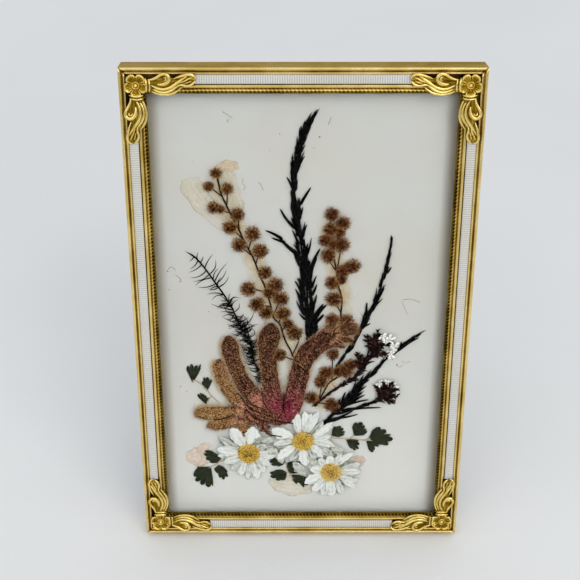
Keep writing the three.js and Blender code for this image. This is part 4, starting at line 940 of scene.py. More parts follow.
def pressed_spray(line, leaves, count, length):
    """Needles laid along a middle line: each starts within the pressed width and points towards the spray's
    tip, turned outwards by (34 degrees * offset + a random few degrees) * slim^2, where slim falls to 0.4
    as the spray gets thin. Those nearer the tip lie underneath."""
    middle = flowing(line, SPRAY_STATIONS)
    spot = np.sort(needle_random.uniform(6, SPRAY_STATIONS - 4, count)).astype(int)
    before, after = (np.clip(spot + step, 0, SPRAY_STATIONS - 1) for step in (-6, 3))
    towards = middle[before, :2] - middle[after, :2]
    heading = np.arctan2(towards[:, 1], towards[:, 0])
    offset = needle_random.uniform(-0.5, 0.5, count)
    aside = np.stack([-np.sin(heading), np.cos(heading)], 1)
    feet = middle[spot, :2] + aside * (offset * middle[spot, 2] * 0.75)[:, None]
    slim = np.clip(0.3 + middle[spot, 2] / 2.6, 0.4, 1)
    splay = np.radians(needle_random.normal(0, 8, count) + offset * 34) * slim ** 2
    reach = needle_random.uniform(*length, count) * slim
    tips = feet + reach[:, None] * np.stack([np.cos(heading + splay), np.sin(heading + splay)], 1)
    height = level(2) + 0.22 * spot / SPRAY_STATIONS + needle_random.uniform(-0.12, 0.12, count)
    width = needle_random.uniform(0.75, 1.3, count) * slim
    bow = needle_random.uniform(-0.05, 0.05, count)
    pressed = bent(at_level(feet, height), at_level(tips, height), bow, width, flatness=0.45, sides=6)
    leaf_feet, leaf_tips, leaf_widths = zip(*leaves)
    bow = needle_random.uniform(-0.06, 0.06, len(leaves))
    standing = bent(at_level(leaf_feet, level(2)), at_level(leaf_tips, level(2.3)), bow, leaf_widths,
                    count=12, flatness=0.35, sides=8, point=0.35)
    points = np.array(line)
    twig = wires([points[:, :2]], 0.6, level(2), 90)
    return joined([twig, pressed, standing])


black_needle, tree, shader = finish("black_needle", Roughness=0.7, Specular_IOR_Level=0.03)
streak = noise(tree, 1300, 3)
colour_of(tree, shader, ramp(tree, streak, (0.35, paint(3, 3, 3)), (0.7, paint(9, 9, 8)),
                             (0.9, paint(30, 29, 26))))
bumpy(tree, shader, streak, 0.00004)
for name, spray in NEEDLE_SPRAYS.items():
    piece(f"needle_leaves_{name}", pressed_spray(**spray), black_needle, f"needle_spray_{name}")

# ------------------------------------------------------------------ wattle sprigs
# Three sprigs of wattle: round heads of fine golden-brown stamens round a dark heart, on wiry stems
# with short side stalks. The heads carry painted shade, darkest at the heart and the stamens' feet.
WATTLE = {             # heads are (x, y, radius)
    "left": {
        "stem": [(-24.4, 121.2), (-24.1, 119.5), (-23.3, 115), (-21.7, 111.2), (-20.2, 107.6), (-18.4, 104),
                 (-17, 100.5), (-15.1, 96.6), (-13.7, 93.2), (-12.4, 89), (-11.2, 86.3), (-10.1, 82.5),
                 (-9.3, 79.4), (-8.5, 75.5), (-6.6, 73.2), (-5.5, 69.4), (-4.5, 66.7), (-3.5, 64.8),
                 (-2.4, 61.3), (-2.2, 58)],
        "stalks": [[(-26.7, 117.2), (-23.1, 114)], [(-21.4, 116.5), (-21.6, 111.3)],
                   [(-25.6, 110.8), (-20.8, 108.9)], [(-18.7, 108.7), (-18.2, 103.6)],
                   [(-20.8, 104.8), (-17.3, 100.9)], [(-14.3, 102.7), (-15.6, 97.6)],
                   [(-18.3, 99.2), (-15, 95.8)], [(-12.3, 97.3), (-13.6, 93)], [(-15.9, 85.2), (-10.5, 84)],
                   [(-7.8, 86.5), (-10.2, 83)], [(-13.4, 80.3), (-9.2, 79)], [(-6.3, 81.9), (-8.6, 76.2)],
                   [(-5.7, 77.1), (-7, 73.6)], [(-2.2, 70.7), (-0.8, 67.8)], [(-0.8, 67.8), (-2.9, 62.8)],
                   [(-6.6, 63.2), (-2.4, 61)], [(-4.1, 73.7), (-6, 71.2)]],
        "heads": [(-24.5, 121.2, 1.5), (-26.7, 117.2, 1.4), (-21.4, 116.5, 1.6), (-25.6, 110.8, 1.6),
                  (-23.5, 110.4, 1.2), (-18.7, 108.7, 1.9), (-20.9, 104.7, 1.9), (-14.3, 102.7, 2.1),
                  (-18.3, 99.2, 2), (-12.3, 97.3, 2.1), (-10.9, 90.5, 1.9), (-7.8, 86.5, 2.2),
                  (-15.9, 85.2, 2.1), (-9.7, 84, 1.7), (-6.3, 81.9, 2.2), (-13.4, 80.3, 2.2),
                  (-10.7, 77.5, 2), (-5.7, 77.1, 2.1), (-4.1, 73.7, 1.6), (-2.2, 70.7, 2.3),
                  (-6.6, 63.2, 1.9)],
        "redness": 0.1,
    },
    "right": {
        "stem": [(8.5, 108.7), (8, 104.4), (8.8, 101), (9, 97), (9.7, 93), (10.2, 90.4), (10.5, 88.2),
                 (10.9, 85.5), (11.9, 81.7), (11.7, 77.1), (11.9, 73)],
        "stalks": [[(11.7, 106), (8.4, 103)], [(11.5, 99), (10.2, 90.6)], [(15, 92.5), (10.4, 89.6)],
                   [(9.4, 81.9), (11.7, 77)], [(9, 75.2), (11.8, 74)], [(13.2, 74.8), (11.8, 74)],
                   [(15.2, 72), (12, 73.4)], [(8, 94), (9.9, 90.8)]],
        "heads": [(8.5, 108.7, 1.9), (11.7, 106, 2), (8, 104.2, 1.8), (10.7, 103.1, 1.7), (6.8, 100.7, 1.9),
                  (11.5, 99.2, 2.2), (9, 99.4, 1.7), (7.6, 95.8, 2.1), (12.1, 91, 1.9), (15, 92.6, 2),
                  (13.6, 92, 1.7), (8.9, 87.2, 1.9), (11.6, 88.2, 1.4), (9.4, 81.9, 2.2), (9, 75.2, 1.9),
                  (13.2, 74.8, 2), (15.2, 71.9, 2)],
        "redness": 0.55,
    },
    "low": {
        "stem": [(15, 59.7), (12.6, 56.4), (9.4, 54), (8.2, 52.8), (5.5, 47.4), (3, 44.6)],
        "stalks": [[(9.4, 63.4), (9.4, 54)], [(7.5, 57), (6.4, 53), (5.4, 47.2)], [(3, 48.3), (4.4, 46)],
                   [(9.2, 45.8), (4.6, 46.2)]],
        "heads": [(15, 59.9, 1.9), (13.3, 57.8, 2.3), (11.2, 57.4, 1.6), (7.5, 57, 2.2), (5.9, 53.9, 1.9),
                  (3, 48.3, 2), (9.2, 45.8, 2.2), (9.4, 63.4, 1.8)],
        "redness": 0.5,
    },
}
STAMENS = 360
HEAD_HALF_HEIGHT = 0.62
HEAD_SPREAD = 1.29                 # reach of the longest stamens, in radii of their head
wattle_random = np.random.default_rng(31)


def pompon(x, y, radius, redness):
    """Head of fine stamens: directions spread evenly over a ball, flattened to the layer's height. Each
    stamen is the outer part of its radius, up to 0.62 to 1.04 of it, and swells a little at its tip.
    Painted shade darkens each stamen towards its foot and the head towards its middle, round a dark heart
    that stands for the shade inside the ball; the outer tips are lightest, with random tone."""
    rise = wattle_random.uniform(-0.6, 1, STAMENS)
    turn = wattle_random.uniform(0, 2 * math.pi, STAMENS)
    level_out = np.sqrt(1 - rise ** 2)
    heading = np.stack([level_out * np.cos(turn), level_out * np.sin(turn), rise], 1)
    size = np.array([radius * HEAD_SPREAD, radius * HEAD_SPREAD, HEAD_HALF_HEIGHT])
    heart = np.array([x, y, level(3) + 0.3])
    reach = wattle_random.uniform(0.62, 1.04, STAMENS)[:, None]
    foot = heart + (heading + wattle_random.normal(0, 0.12, (STAMENS, 3))) * size * (reach - 0.34)
    tip = heart + (heading + wattle_random.normal(0, 0.09, (STAMENS, 3))) * size * reach
    share = np.array([0, 0.4, 0.8, 1])[None, :, None]
    paths = foot[:, None] + (tip - foot)[:, None] * share
    girth = np.array([0.09, 0.1, 0.15, 0.0])
    outer = 0.06 + 0.85 * (level_out * reach[:, 0]) ** 2.5 + wattle_random.normal(0, 0.32, STAMENS)
    along = np.array([0.45, 0.7, 1.0, 1.2])[None, :, None]
    lit = np.clip(outer[:, None, None] * along + np.zeros((1, 1, 3)), 0, 1)
    warm = np.clip(redness + wattle_random.normal(0, 0.2, (STAMENS, 1, 1)), 0, 1)
    stamens = tubes(paths, girth, girth, 3, shade=lit, tint=warm)
    stations = np.linspace(-1, 1, 9)
    core_path = heart + np.stack([0 * stations, 0 * stations, stations * HEAD_HALF_HEIGHT * 0.6], 1)
    core_girth = 2 * radius * 0.6 * np.sqrt(np.clip(1 - stations ** 2, 0, 1))
    core = tubes(core_path[None], core_girth, core_girth, 16, shade=0.16, tint=redness)
    return joined([stamens, core])


wattle_fuzz, tree, shader = finish("wattle_fuzz", Roughness=0.85, Specular_IOR_Level=0.05)
mottle = noise(tree, 1500, 2)
depth = reckon(tree, "ADD", carried(tree, "shade"), fitted(tree, mottle, -0.28, 0.32, 0.34, 0.66))
golden = ramp(tree, depth, (0.0, paint(34, 12, 4)), (0.3, paint(88, 50, 20)), (0.65, paint(148, 102, 50)),
              (1.0, paint(198, 160, 102)))
ruddy = ramp(tree, depth, (0.0, paint(34, 10, 7)), (0.3, paint(86, 40, 23)), (0.65, paint(142, 88, 50)),
             (1.0, paint(190, 144, 96)))
colour_of(tree, shader, blend(tree, carried(tree, "tint"), golden, ruddy))

for name, sprig in WATTLE.items():
    stems = joined([wires([sprig["stem"]], 0.5, level(1.4), 110, shade=-0.2, tint=0.7),
                    wires(sprig["stalks"], 0.34, level(1.4), shade=-0.2, tint=0.7)])
    heads = [pompon(*head, sprig["redness"]) for head in sprig["heads"]]
    piece(f"wattle_heads_{name}", joined([stems, *heads]), wattle_fuzz, f"wattle_{name}")

# ------------------------------------------------------------------ heath sprigs
# Two sprigs of heath: purple-brown scale leaves crowded on the stem, and small papery white flowers
# at the tips.
HEATH = {              # stem as (x, y, width of the leaves); flowers as middle, radius
    "upper": {
        "stem": [(22, 68.6, 3.0), (21.3, 64, 3.4), (19.2, 60.5, 3.6), (17.1, 56.3, 2.8), (11.3, 52, 1.1),
                 (6.7, 48.2, 0.6), (3.8, 44.9, 0.5)],
        "branches": [[(21.3, 65), (19.6, 69.4)], [(21.8, 66), (22.9, 71)], [(21.6, 66), (26.2, 67)],
                     [(20.6, 63.4), (26.2, 63.8)], [(18.4, 59), (17.1, 63.4)], [(18.4, 58), (16.6, 60.4)]],
        "flowers": [((24.2, 69.6), 1.6), ((26.4, 68.4), 1.7), ((28.0, 66.4), 1.7), ((26.9, 63.6), 1.6),
                    ((27.6, 65.0), 1.3), ((25.4, 67.2), 1.1)],
        "scales": 170,
    },
    "lower": {
        "stem": [(26.4, 50.4, 4.4), (25.2, 49.2, 4.4), (23.8, 47.6, 2.4), (20.9, 46.2, 1.1),
                 (18, 44.9, 0.8)],
        "branches": [[(24.6, 48.6), (23.0, 52.4)], [(25.2, 49), (25.2, 53.4)], [(25.8, 49), (27.4, 53)],
                     [(25.8, 49), (28.9, 51.4)], [(25.8, 48.6), (29.2, 49.2)], [(25, 48), (28.2, 47)]],
        "flowers": [((24.2, 53.6), 1.2), ((26.6, 53.8), 1.3), ((28.7, 52.3), 1.3), ((29.4, 50.0), 1.1),
                    ((28.4, 47.6), 1.0)],
        "scales": 120,
    },
}
heath_random = np.random.default_rng(41)


def scales_along(line, count, reach, layer):
    """Small pointed leaves that leave a line at 12 to 50 degrees to either side, overlapping as they go.
    Each has its own tone, and painted light makes it lightest on its upper ridge and towards its tip."""
    middle = flowing(line, 120)
    spot = heath_random.integers(2, 118, count)
    towards = middle[spot - 2, :2] - middle[spot + 1, :2]
    side = heath_random.choice([-1, 1], count)
    splay = np.radians(heath_random.uniform(12, 50, count))
    heading = np.arctan2(towards[:, 1], towards[:, 0]) + side * splay
    feet = middle[spot, :2] + heath_random.normal(0, 0.12, (count, 2)) * middle[spot, 2:3]
    length = reach * heath_random.uniform(0.7, 1.3, count) * np.clip(middle[spot, 2] / 3, 0.2, 1)
    tips = feet + length[:, None] * np.stack([np.cos(heading), np.sin(heading)], 1)
    low = level(layer) + heath_random.uniform(-0.1, 0.25, count)
    ridge = np.clip(np.sin(np.linspace(0, 2 * math.pi, 6, endpoint=False)), 0.1, 1)
    tone = heath_random.uniform(0, 1.1, (count, 1, 1)) * ridge * np.linspace(0.5, 1.1, 7)[:, None]
    width = heath_random.uniform(0.6, 1.1, count)
    return bent(at_level(feet, low), at_level(tips, low + 0.12), side * -0.12, width, flatness=0.4,
                shade=tone, sides=6)


def crinkle(along, across):
    """Height of a papery petal: a slanting wave."""
    return 0.07 * np.sin(7 * across + 5 * along)


def grey_edge(along, across):
    """Greyness of a papery petal, |across|^3."""
    return np.abs(across) ** 3 + 0 * along


PAPERY_PETAL = ((0.05, 0.2), (0.4, 0.45), (0.75, 0.75), (0.95, 0.5), (1.02, 0.15))   # share, width in radii


def papery_flower(middle, radius, layer):
    """Five crumpled petals round a small throat, each a short blade, white with grey edges."""
    start = heath_random.uniform(0, 2 * math.pi)
    petals = []
    for i in range(5):
        turn = start + i * 2 * math.pi / 5 + heath_random.uniform(-0.4, 0.4)
        way = np.array([math.cos(turn), math.sin(turn)])
        reach = radius * heath_random.uniform(0.6, 1.3)
        line = [(*(np.array(middle) + way * reach * share), width * radius)
                for share, width in PAPERY_PETAL]
        petals.append(blade(line, 12, 11, level(layer) + 0.12 * i / 5, crinkle, frill=0.12,
                            shade=grey_edge, tint=1.0))
    return joined(petals)


heath_leaf, tree, shader = finish("heath_leaf", Roughness=0.75, Specular_IOR_Level=0.05)
mottle = noise(tree, 1300, 3)
scale = reckon(tree, "ADD", fitted(tree, carried(tree, "shade"), -0.1, 0.6),
               fitted(tree, mottle, -0.3, 0.4, 0.34, 0.66))
purple = ramp(tree, scale, (0.0, paint(3, 1, 1)), (0.45, paint(34, 13, 11)), (1.0, paint(106, 64, 52)))
papery = blend(tree, carried(tree, "shade"), paint(232, 230, 226), paint(150, 144, 138))
colour_of(tree, shader, blend(tree, carried(tree, "tint"), purple, papery))
bumpy(tree, shader, mottle, 0.00006)

for name, sprig in HEATH.items():
    points = np.array(sprig["stem"])
    branches = [np.column_stack([branch, [2.2, 1.6]]) for branch in sprig["branches"]]
    parts = [wires([points[:, :2]], 0.6, level(3.6), 60, shade=0.4),
             scales_along(sprig["stem"], sprig["scales"], 3.0, 4)]
    parts += [scales_along([branch[1], branch.mean(0), branch[0]], 26, 2.5, 4.3) for branch in branches]
    parts += [papery_flower(middle, radius, 4.8) for middle, radius in sprig["flowers"]]
    piece(f"heath_leaves_{name}", joined(parts), heath_leaf, f"heath_{name}")

# ------------------------------------------------------------------ kangaroo paw flowers
# Eight felted flower tubes, pressed flat. They run from rose-brown and golden tan at their mouths to
# magenta where they join, and a short pile of hairs covers them.
PAWS = {               # middle line as (x, y, width), mouth first; how golden, light and dark-rimmed it is
    "base": {"rim": 0.3, "light": -0.05, "layer": 3.6, "gold": 0.30, "line": [
        (-17, 43.6, 2.4), (-13.4, 42.6, 4.6), (-9.6, 41.6, 5.6), (-6.2, 41.8, 6.6), (-3.4, 43.2, 5.4)]},
    "bud": {"rim": 0.4, "light": 0.1, "layer": 3.6, "gold": 0.8, "line": [
        (-18, 33.6, 0.6), (-18.2, 36.2, 3.2), (-18.6, 38.6, 4.8), (-19.2, 40.8, 5.0)]},
    "flower_outer": {"rim": -0.25, "light": 0.12, "layer": 4.4, "gold": 0.72, "line": [
        (-25.2, 61.8, 2.6), (-25.2, 59.4, 4.0), (-24.7, 56.4, 4.0), (-23.7, 53.2, 3.8), (-22.1, 50.2, 4.0),
        (-20.2, 47.6, 4.2), (-18.4, 45.6, 3.2), (-17.4, 44.6, 1.2)]},
    "flower_low": {"rim": 0.5, "light": 0.12, "layer": 4.4, "gold": 0.85, "line": [
        (-29.8, 38.2, 0.8), (-27, 38.5, 3.4), (-23.4, 39.3, 3.8), (-19.6, 40.6, 2.4)]},
    "flower_middle": {"rim": -0.1, "light": -0.12, "layer": 4.2, "gold": 0.42, "line": [
        (-9, 74.2, 3.6), (-9.6, 70, 6.4), (-10.4, 66, 5.6), (-10.4, 62, 5.0), (-9.9, 58, 4.8),
        (-9.5, 54, 5.0), (-9.1, 50.6, 5.6), (-8.7, 47, 5.9), (-8.3, 44.2, 4.8), (-8.0, 42.2, 1.6)]},
    "flower_side": {"rim": 0.5, "light": 0.1, "layer": 5.2, "gold": 0.85, "line": [
        (-33.6, 43, 1), (-31.6, 42.9, 3.4), (-28, 42.8, 4.7), (-24, 43.0, 4.3), (-20, 43.4, 3.6),
        (-17.6, 43.8, 2.0)]},
    "flower_inner": {"rim": -0.15, "light": -0.06, "layer": 5.2, "gold": 0.45, "line": [
        (-22.2, 70.0, 2.6), (-21.8, 66.6, 5.0), (-21.3, 62.8, 5.0), (-20.1, 59, 4.8), (-18.8, 55.6, 4.8),
        (-17.0, 52, 5.2), (-14.9, 49, 5.7), (-12.9, 46.2, 4.8), (-11.6, 44.2, 1.8)]},
    "flower_right": {"rim": -0.2, "light": -0.17, "layer": 5.2, "gold": 0.4, "line": [
        (12.2, 70.9, 4.4), (10.6, 70.3, 6.6), (8.6, 69.4, 6.6), (5.5, 67.2, 6.2), (2.8, 65, 6.2),
        (0.7, 61.8, 6.0), (-0.5, 57.8, 5.8), (-1.2, 53.8, 5.8), (-2.1, 49.6, 6.0), (-2.8, 45.6, 5.6),
        (-3.6, 42.2, 4.4), (-4.2, 40.0, 1.6)]},
}
HAIRS_TO_A_SQUARE_MM = 15           # short ones on the face
HAIRS_TO_A_MM = 34                  # longer ones along both edges together
PAW_HALF_HEIGHT = 0.42
PAW_TOP = -2.93                    # just under the glass
MAGENTA_MIDDLE, MAGENTA_REACH = (-5.4, 45.6), (7.0, 6.4)
paw_random = np.random.default_rng(53)


def paw_tint(points, gold):
    """Place on the paw's colour scale: gold, pulled to 0, magenta, near the point where they all join.
    It is gold * (1 - 0.95 * exp(-distance^2)), with the distance in reaches of the magenta."""
    near = sum(((points[..., i] - MAGENTA_MIDDLE[i]) / MAGENTA_REACH[i]) ** 2 for i in (0, 1))
    return gold * (1 - 0.95 * np.exp(-near))


def felted_tube(line, layer, gold, rim, light, rose=0.5):
    """Flattened tube whose wall is drawn into soft lengthwise folds, with a pile of short hairs on its
    face and longer ones along its edges. Wall = half width * cos(a) * (1 + ripple), half height * sin(a) *
    (0.88 + 0.12 * cos(6 * cos(a) + drift)), and the folds are painted darker as shade. Rim is how much
    darker its edges are than its middle, and rose how much redder its lower end is. That end is a bulb with
    a painted highlight between two creases of painted shade, where the edge hairs are short and darker, and
    the pile lies in clumps of uneven tone."""
    rows, sides = 110, 40
    middle = flowing(line, rows)
    share = np.linspace(0, 1, rows)
    closing = np.clip(np.sin(math.pi * share) * 5, 0, 1) ** 0.5
    closing[0] = closing[-1] = 0
    path = np.column_stack([middle[:, :2], np.full(rows, level(layer))])
    turn = np.linspace(0, 2 * math.pi, sides, endpoint=False)
    drift = 2 * np.sin(share * 7 + gold * 9)[:, None]
    fold = 0.88 + 0.12 * np.cos(6 * np.cos(turn) + drift)
    ripple = 1 + 0.04 * np.sin(share * 31 + gold * 5)[:, None] + 0.03 * np.sin(share * 67)[:, None]
    wide = middle[:, 2:3] * ripple * closing[:, None]
    high = 2 * PAW_HALF_HEIGHT * fold * closing[:, None]
    part = tubes(path[None], wide[None], high[None], sides)
    points = part[0].reshape(rows, sides, 3)
    outermost = np.abs(np.cos(turn)) ** 3
    lit = 0.17 + light - 0.7 * np.clip(1 - fold, 0, 1) - 0.42 * rim * outermost
    low_end = np.clip((share - 0.62) / 0.16, 0, 1)
    lit = lit - 0.25 * np.exp(-14 * share)[:, None] + 0.62 * np.exp(-((share - 0.86) / 0.12) ** 2)[:, None]
    lit = lit - 0.9 * low_end[:, None] * outermost ** 2
    rosy = 1 - rose * np.exp(-((share - 0.88) / 0.16) ** 2)
    warm = paw_tint(points, gold) * rosy[:, None]
    clumps = paw_random.normal(0, 0.22, (rows, sides))
    body = (part[0], part[1], (lit + clumps).ravel(), warm.ravel())

    length = np.linalg.norm(np.diff(middle[:, :2], axis=0), axis=1).sum()
    on_face_count = int(length * middle[:, 2].mean() * HAIRS_TO_A_SQUARE_MM)
    on_edge_count = int(length * HAIRS_TO_A_MM)
    edge = np.arange(on_face_count + on_edge_count) >= on_face_count
    count = edge.size
    row = paw_random.integers(1, rows - 2, count)
    around = np.where(edge, paw_random.choice([0.0, 0.5], count) + paw_random.normal(0, 0.035, count),
                      paw_random.uniform(0.02, 0.48, count))
    side = np.floor(around * sides).astype(int) % sides
    mix = paw_random.uniform(0, 1, (count, 1))
    foot = points[row, side] * (1 - mix) + points[row + 1, (side + 1) % sides] * mix
    outward = foot - (path[row] * (1 - mix) + path[row + 1] * mix)
    outward /= np.linalg.norm(outward, axis=1, keepdims=True) + 1e-9
    mouthward = path[row - 1] - path[row + 1]
    mouthward /= np.linalg.norm(mouthward, axis=1, keepdims=True)
    way = outward * 0.8 + mouthward * 0.4 + paw_random.normal(0, 0.35, (count, 3)) * [1, 1, 0.5]
    reach = np.where(edge, paw_random.uniform(0.3, 1.5, count), paw_random.uniform(0.15, 0.35, count))
    reach = reach * (1 - 0.75 * edge * low_end[row])
    tip = foot + way * reach[:, None]
    tip[:, 2] = np.minimum(tip[:, 2], PAW_TOP)
    foot[:, 2] = np.minimum(foot[:, 2], PAW_TOP)
    paths = foot[:, None] + (tip - foot)[:, None] * np.array([0, 0.5, 1])[None, :, None]
    base = np.where(edge, 1.05 - 0.8 * rim - 1.1 * low_end[row], 0.34 + light + 0.2 * low_end[row])
    pale = (base + clumps[row, side] + paw_random.uniform(-0.35, 0.6, count))[:, None, None]
    pale = pale * np.array([0.8, 1.0, 1.2])[None, :, None]
    warmth = paw_tint(foot, np.where(edge, np.clip(gold + 0.2, 0, 1), gold)) * rosy[row]
    girth = np.where(edge, 0.055, 0.12)[:, None, None] * np.array([1, 0.85, 0])[None, :, None]
    hairs = tubes(paths, girth, girth, 3, shade=pale + np.zeros((1, 1, 3)), tint=warmth[:, None, None])
    return joined([body, hairs])


paw_felt, tree, shader = finish("paw_felt", Roughness=0.9, Specular_IOR_Level=0.05)
speckle = noise(tree, 2900, 1)
blotch = noise(tree, 260, 4)
place = reckon(tree, "ADD", carried(tree, "tint"), fitted(tree, blotch, -0.08, 0.08, 0.3, 0.7))
deep = ramp(tree, place, (0.0, paint(49, 4, 16)), (0.2, paint(50, 15, 11)), (0.45, paint(25, 9, 3)),
            (0.8, paint(63, 34, 11)), (1.0, paint(85, 50, 16)))
fair = ramp(tree, place, (0.0, paint(142, 46, 66)), (0.2, paint(198, 128, 110)),
            (0.45, paint(168, 117, 82)), (0.8, paint(197, 151, 102)), (1.0, paint(206, 166, 112)))
downy = ramp(tree, place, (0.0, paint(196, 140, 140)), (0.3, paint(214, 178, 152)),
             (1.0, paint(224, 198, 152)))
light = reckon(tree, "ADD", carried(tree, "shade"), fitted(tree, speckle, -0.42, 0.5, 0.36, 0.64))
felt = blend(tree, fitted(tree, light, 0, 1), deep, fair)
colour_of(tree, shader, blend(tree, fitted(tree, light, 0, 1, 0.9, 1.6), felt, downy))
bumpy(tree, shader, speckle, 0.00006)

# The right flower's mouth has split into lobes, with its cream filaments between them.
MOUTH_LOBES = [[(15.4, 74.0, 0.5), (13.2, 72.8, 2.4), (10.0, 70.6, 3.4)],
               [(16.6, 71.8, 0.5), (13.8, 71.2, 2.6), (10.0, 69.6, 3.2)],
               [(15.6, 68.0, 0.5), (13.0, 68.8, 2.4), (9.4, 69.0, 3.2)],
               [(13.0, 65.8, 0.5), (11.2, 67.0, 2.2), (8.2, 68.0, 2.8)],
               [(10.6, 75.2, 0.5), (9.2, 73.6, 2.0), (7.4, 70.8, 2.8)]]
MOUTH_FILAMENTS = [[(8.8, 70.4), (9.6, 72.4), (10.9, 74.0)], [(10.0, 69.8), (12.4, 68.0), (15.4, 66.8)],
                   [(10.4, 70.4), (13.0, 69.8), (16.0, 69.4)], [(9.6, 70.9), (11.6, 73.4), (13.4, 75.4)],
                   [(9.4, 69.2), (11.4, 67.4), (13.8, 66.2)]]

# Dried scraps of leaf lie where the flowers join, brown with dark edges. Dark thin stalks run from them,
# and dark lines of painted shade lie in the creases between the flowers' feet and bulbs.
JOINT_SCRAPS = [[(-20.6, 46.0, 0.8), (-17.6, 44.6, 2.6), (-15.0, 42.8, 1.6), (-12.2, 41.8, 3.0),
                 (-9.8, 40.2, 0.6)],
                [(-20.2, 41.6, 0.8), (-17.2, 41.8, 3.8), (-14.8, 39.8, 2.0), (-12.6, 39.0, 3.2),
                 (-11.2, 37.2, 0.8)],
                [(-13.2, 41.0, 0.6), (-11.8, 38.4, 3.4), (-10.6, 36.2, 1.6), (-9.8, 35.2, 0.6)],
                [(-16.8, 46.2, 0.6), (-14.0, 44.6, 2.4), (-12.0, 43.0, 1.2), (-9.6, 42.0, 2.4),
                 (-8.4, 40.6, 0.6)]]
LOW_STALKS_AND_CREASE_SHADE = [[(-16.2, 43.4), (-14.2, 41.6), (-12.7, 40.4), (-12.2, 38.2), (-11.2, 36.4), (-10.0, 35.2),
               (-7.6, 34.8), (-5.8, 34.4)],
              [(-5.5, 50.6), (-5.3, 47.8), (-5.5, 45.4), (-6.0, 43.2), (-7.4, 41.2)],
              [(-8.6, 40.6), (-6.6, 40.0), (-4.6, 39.6), (-2.4, 39.4)]]
HIGH_CREASE_SHADE = [[(-17.6, 50.6), (-16.6, 48.0), (-14.8, 45.9), (-12.6, 45.0), (-11.2, 44.2)],
               [(-12.5, 52.4), (-12.0, 50.0), (-11.8, 47.4), (-10.6, 44.8), (-9.0, 43.2)],
               [(-20.4, 50.6), (-18.9, 49.4), (-17.9, 47.4), (-16.4, 45.4), (-14.2, 44.0), (-12, 43.0),
                (-10, 42.2)],
               [(-27.4, 40.8), (-25.6, 40.9), (-24.0, 41.3), (-22.6, 42.0), (-21.0, 42.8)]]


def scrap_relief(along, across):
    """Height of a crumpled scrap: a product of slow waves."""
    return 0.12 * np.cos(7 * across + 9 * along) * np.sin(8 * along + across)


def scrap_tone(along, across):
    """Lightness of a crumpled scrap: uneven, and dark at its edges."""
    return 0.26 - 0.7 * across ** 8 + 0.4 * np.sin(5 * across + 9 * along) * np.sin(13 * along)


for name, paw in PAWS.items():
    parts = [felted_tube(**paw)]
    if name == "flower_right":
        parts += [felted_tube(line, layer=5.4, gold=0.5, rim=0.2, light=-0.12, rose=0)
                  for line in MOUTH_LOBES]
        parts += [wires(MOUTH_FILAMENTS, 0.16, level(8.0), shade=0.75, tint=0.7)]
    if name == "base":
        parts += [blade(line, 40, 21, level(5.9) + 0.08 * i, scrap_relief, frill=0.3, shade=scrap_tone,
                        tint=0.3 + 0.04 * i) for i, line in enumerate(JOINT_SCRAPS)]
        parts += [wires(LOW_STALKS_AND_CREASE_SHADE, 0.36, level(7.0), 40, shade=-0.3, tint=0.4),
                  wires(HIGH_CREASE_SHADE, 0.32, level(7.9), 40, shade=-0.2, tint=0.45)]
    piece(f"paw_felt_{name}", joined(parts), paw_felt, f"paw_{name}")

# Oil from the flowers has soaked into the card round them, as a faint tan bloom that fades outwards.
OILY_PAWS = ("flower_outer", "flower_inner", "flower_middle", "flower_right", "flower_side")
BLOOM_LINES = [[(x, y, width + 4.2) for x, y, width in PAWS[name]["line"]] for name in OILY_PAWS]
BLOOM_LINES += [[(x, y, 7.6) for x, y in sprig["stem"]] for sprig in WATTLE.values()]
BLOOM_LEVEL, BLOOM_STEP, BLOOM_THICKNESS = CARD_TOP - 0.025, 0.003, 0.002

oil_bloom, tree, shader = finish("oil_bloom", Roughness=0.9, Specular_IOR_Level=0.1)
soaked = reckon(tree, "MULTIPLY", carried(tree, "shade"),
                fitted(tree, noise(tree, 260, 4), 0.35, 1, 0.35, 0.65))
colour_of(tree, shader, ramp(tree, soaked, (0.0, paint(200, 190, 164)), (1.0, paint(198, 168, 116))))
tree.links.new(fitted(tree, soaked, 0, 0.4), shader.inputs["Alpha"])


def flat_stain(along, across):
    """Height of a stain, which has none."""
    return 0 * along


def fading(along, across):
    """1 along the middle, falling to 0 at the edges and the ends."""
    return (1 - across ** 2) ** 1.2 * np.clip(np.minimum(along, 1 - along) * 9, 0, 1)


blooms = [blade(line, 60, 25, BLOOM_LEVEL + BLOOM_STEP * i, flat_stain, BLOOM_THICKNESS, shade=fading)
          for i, line in enumerate(BLOOM_LINES)]
piece("oil_blooms", joined(blooms), oil_bloom)
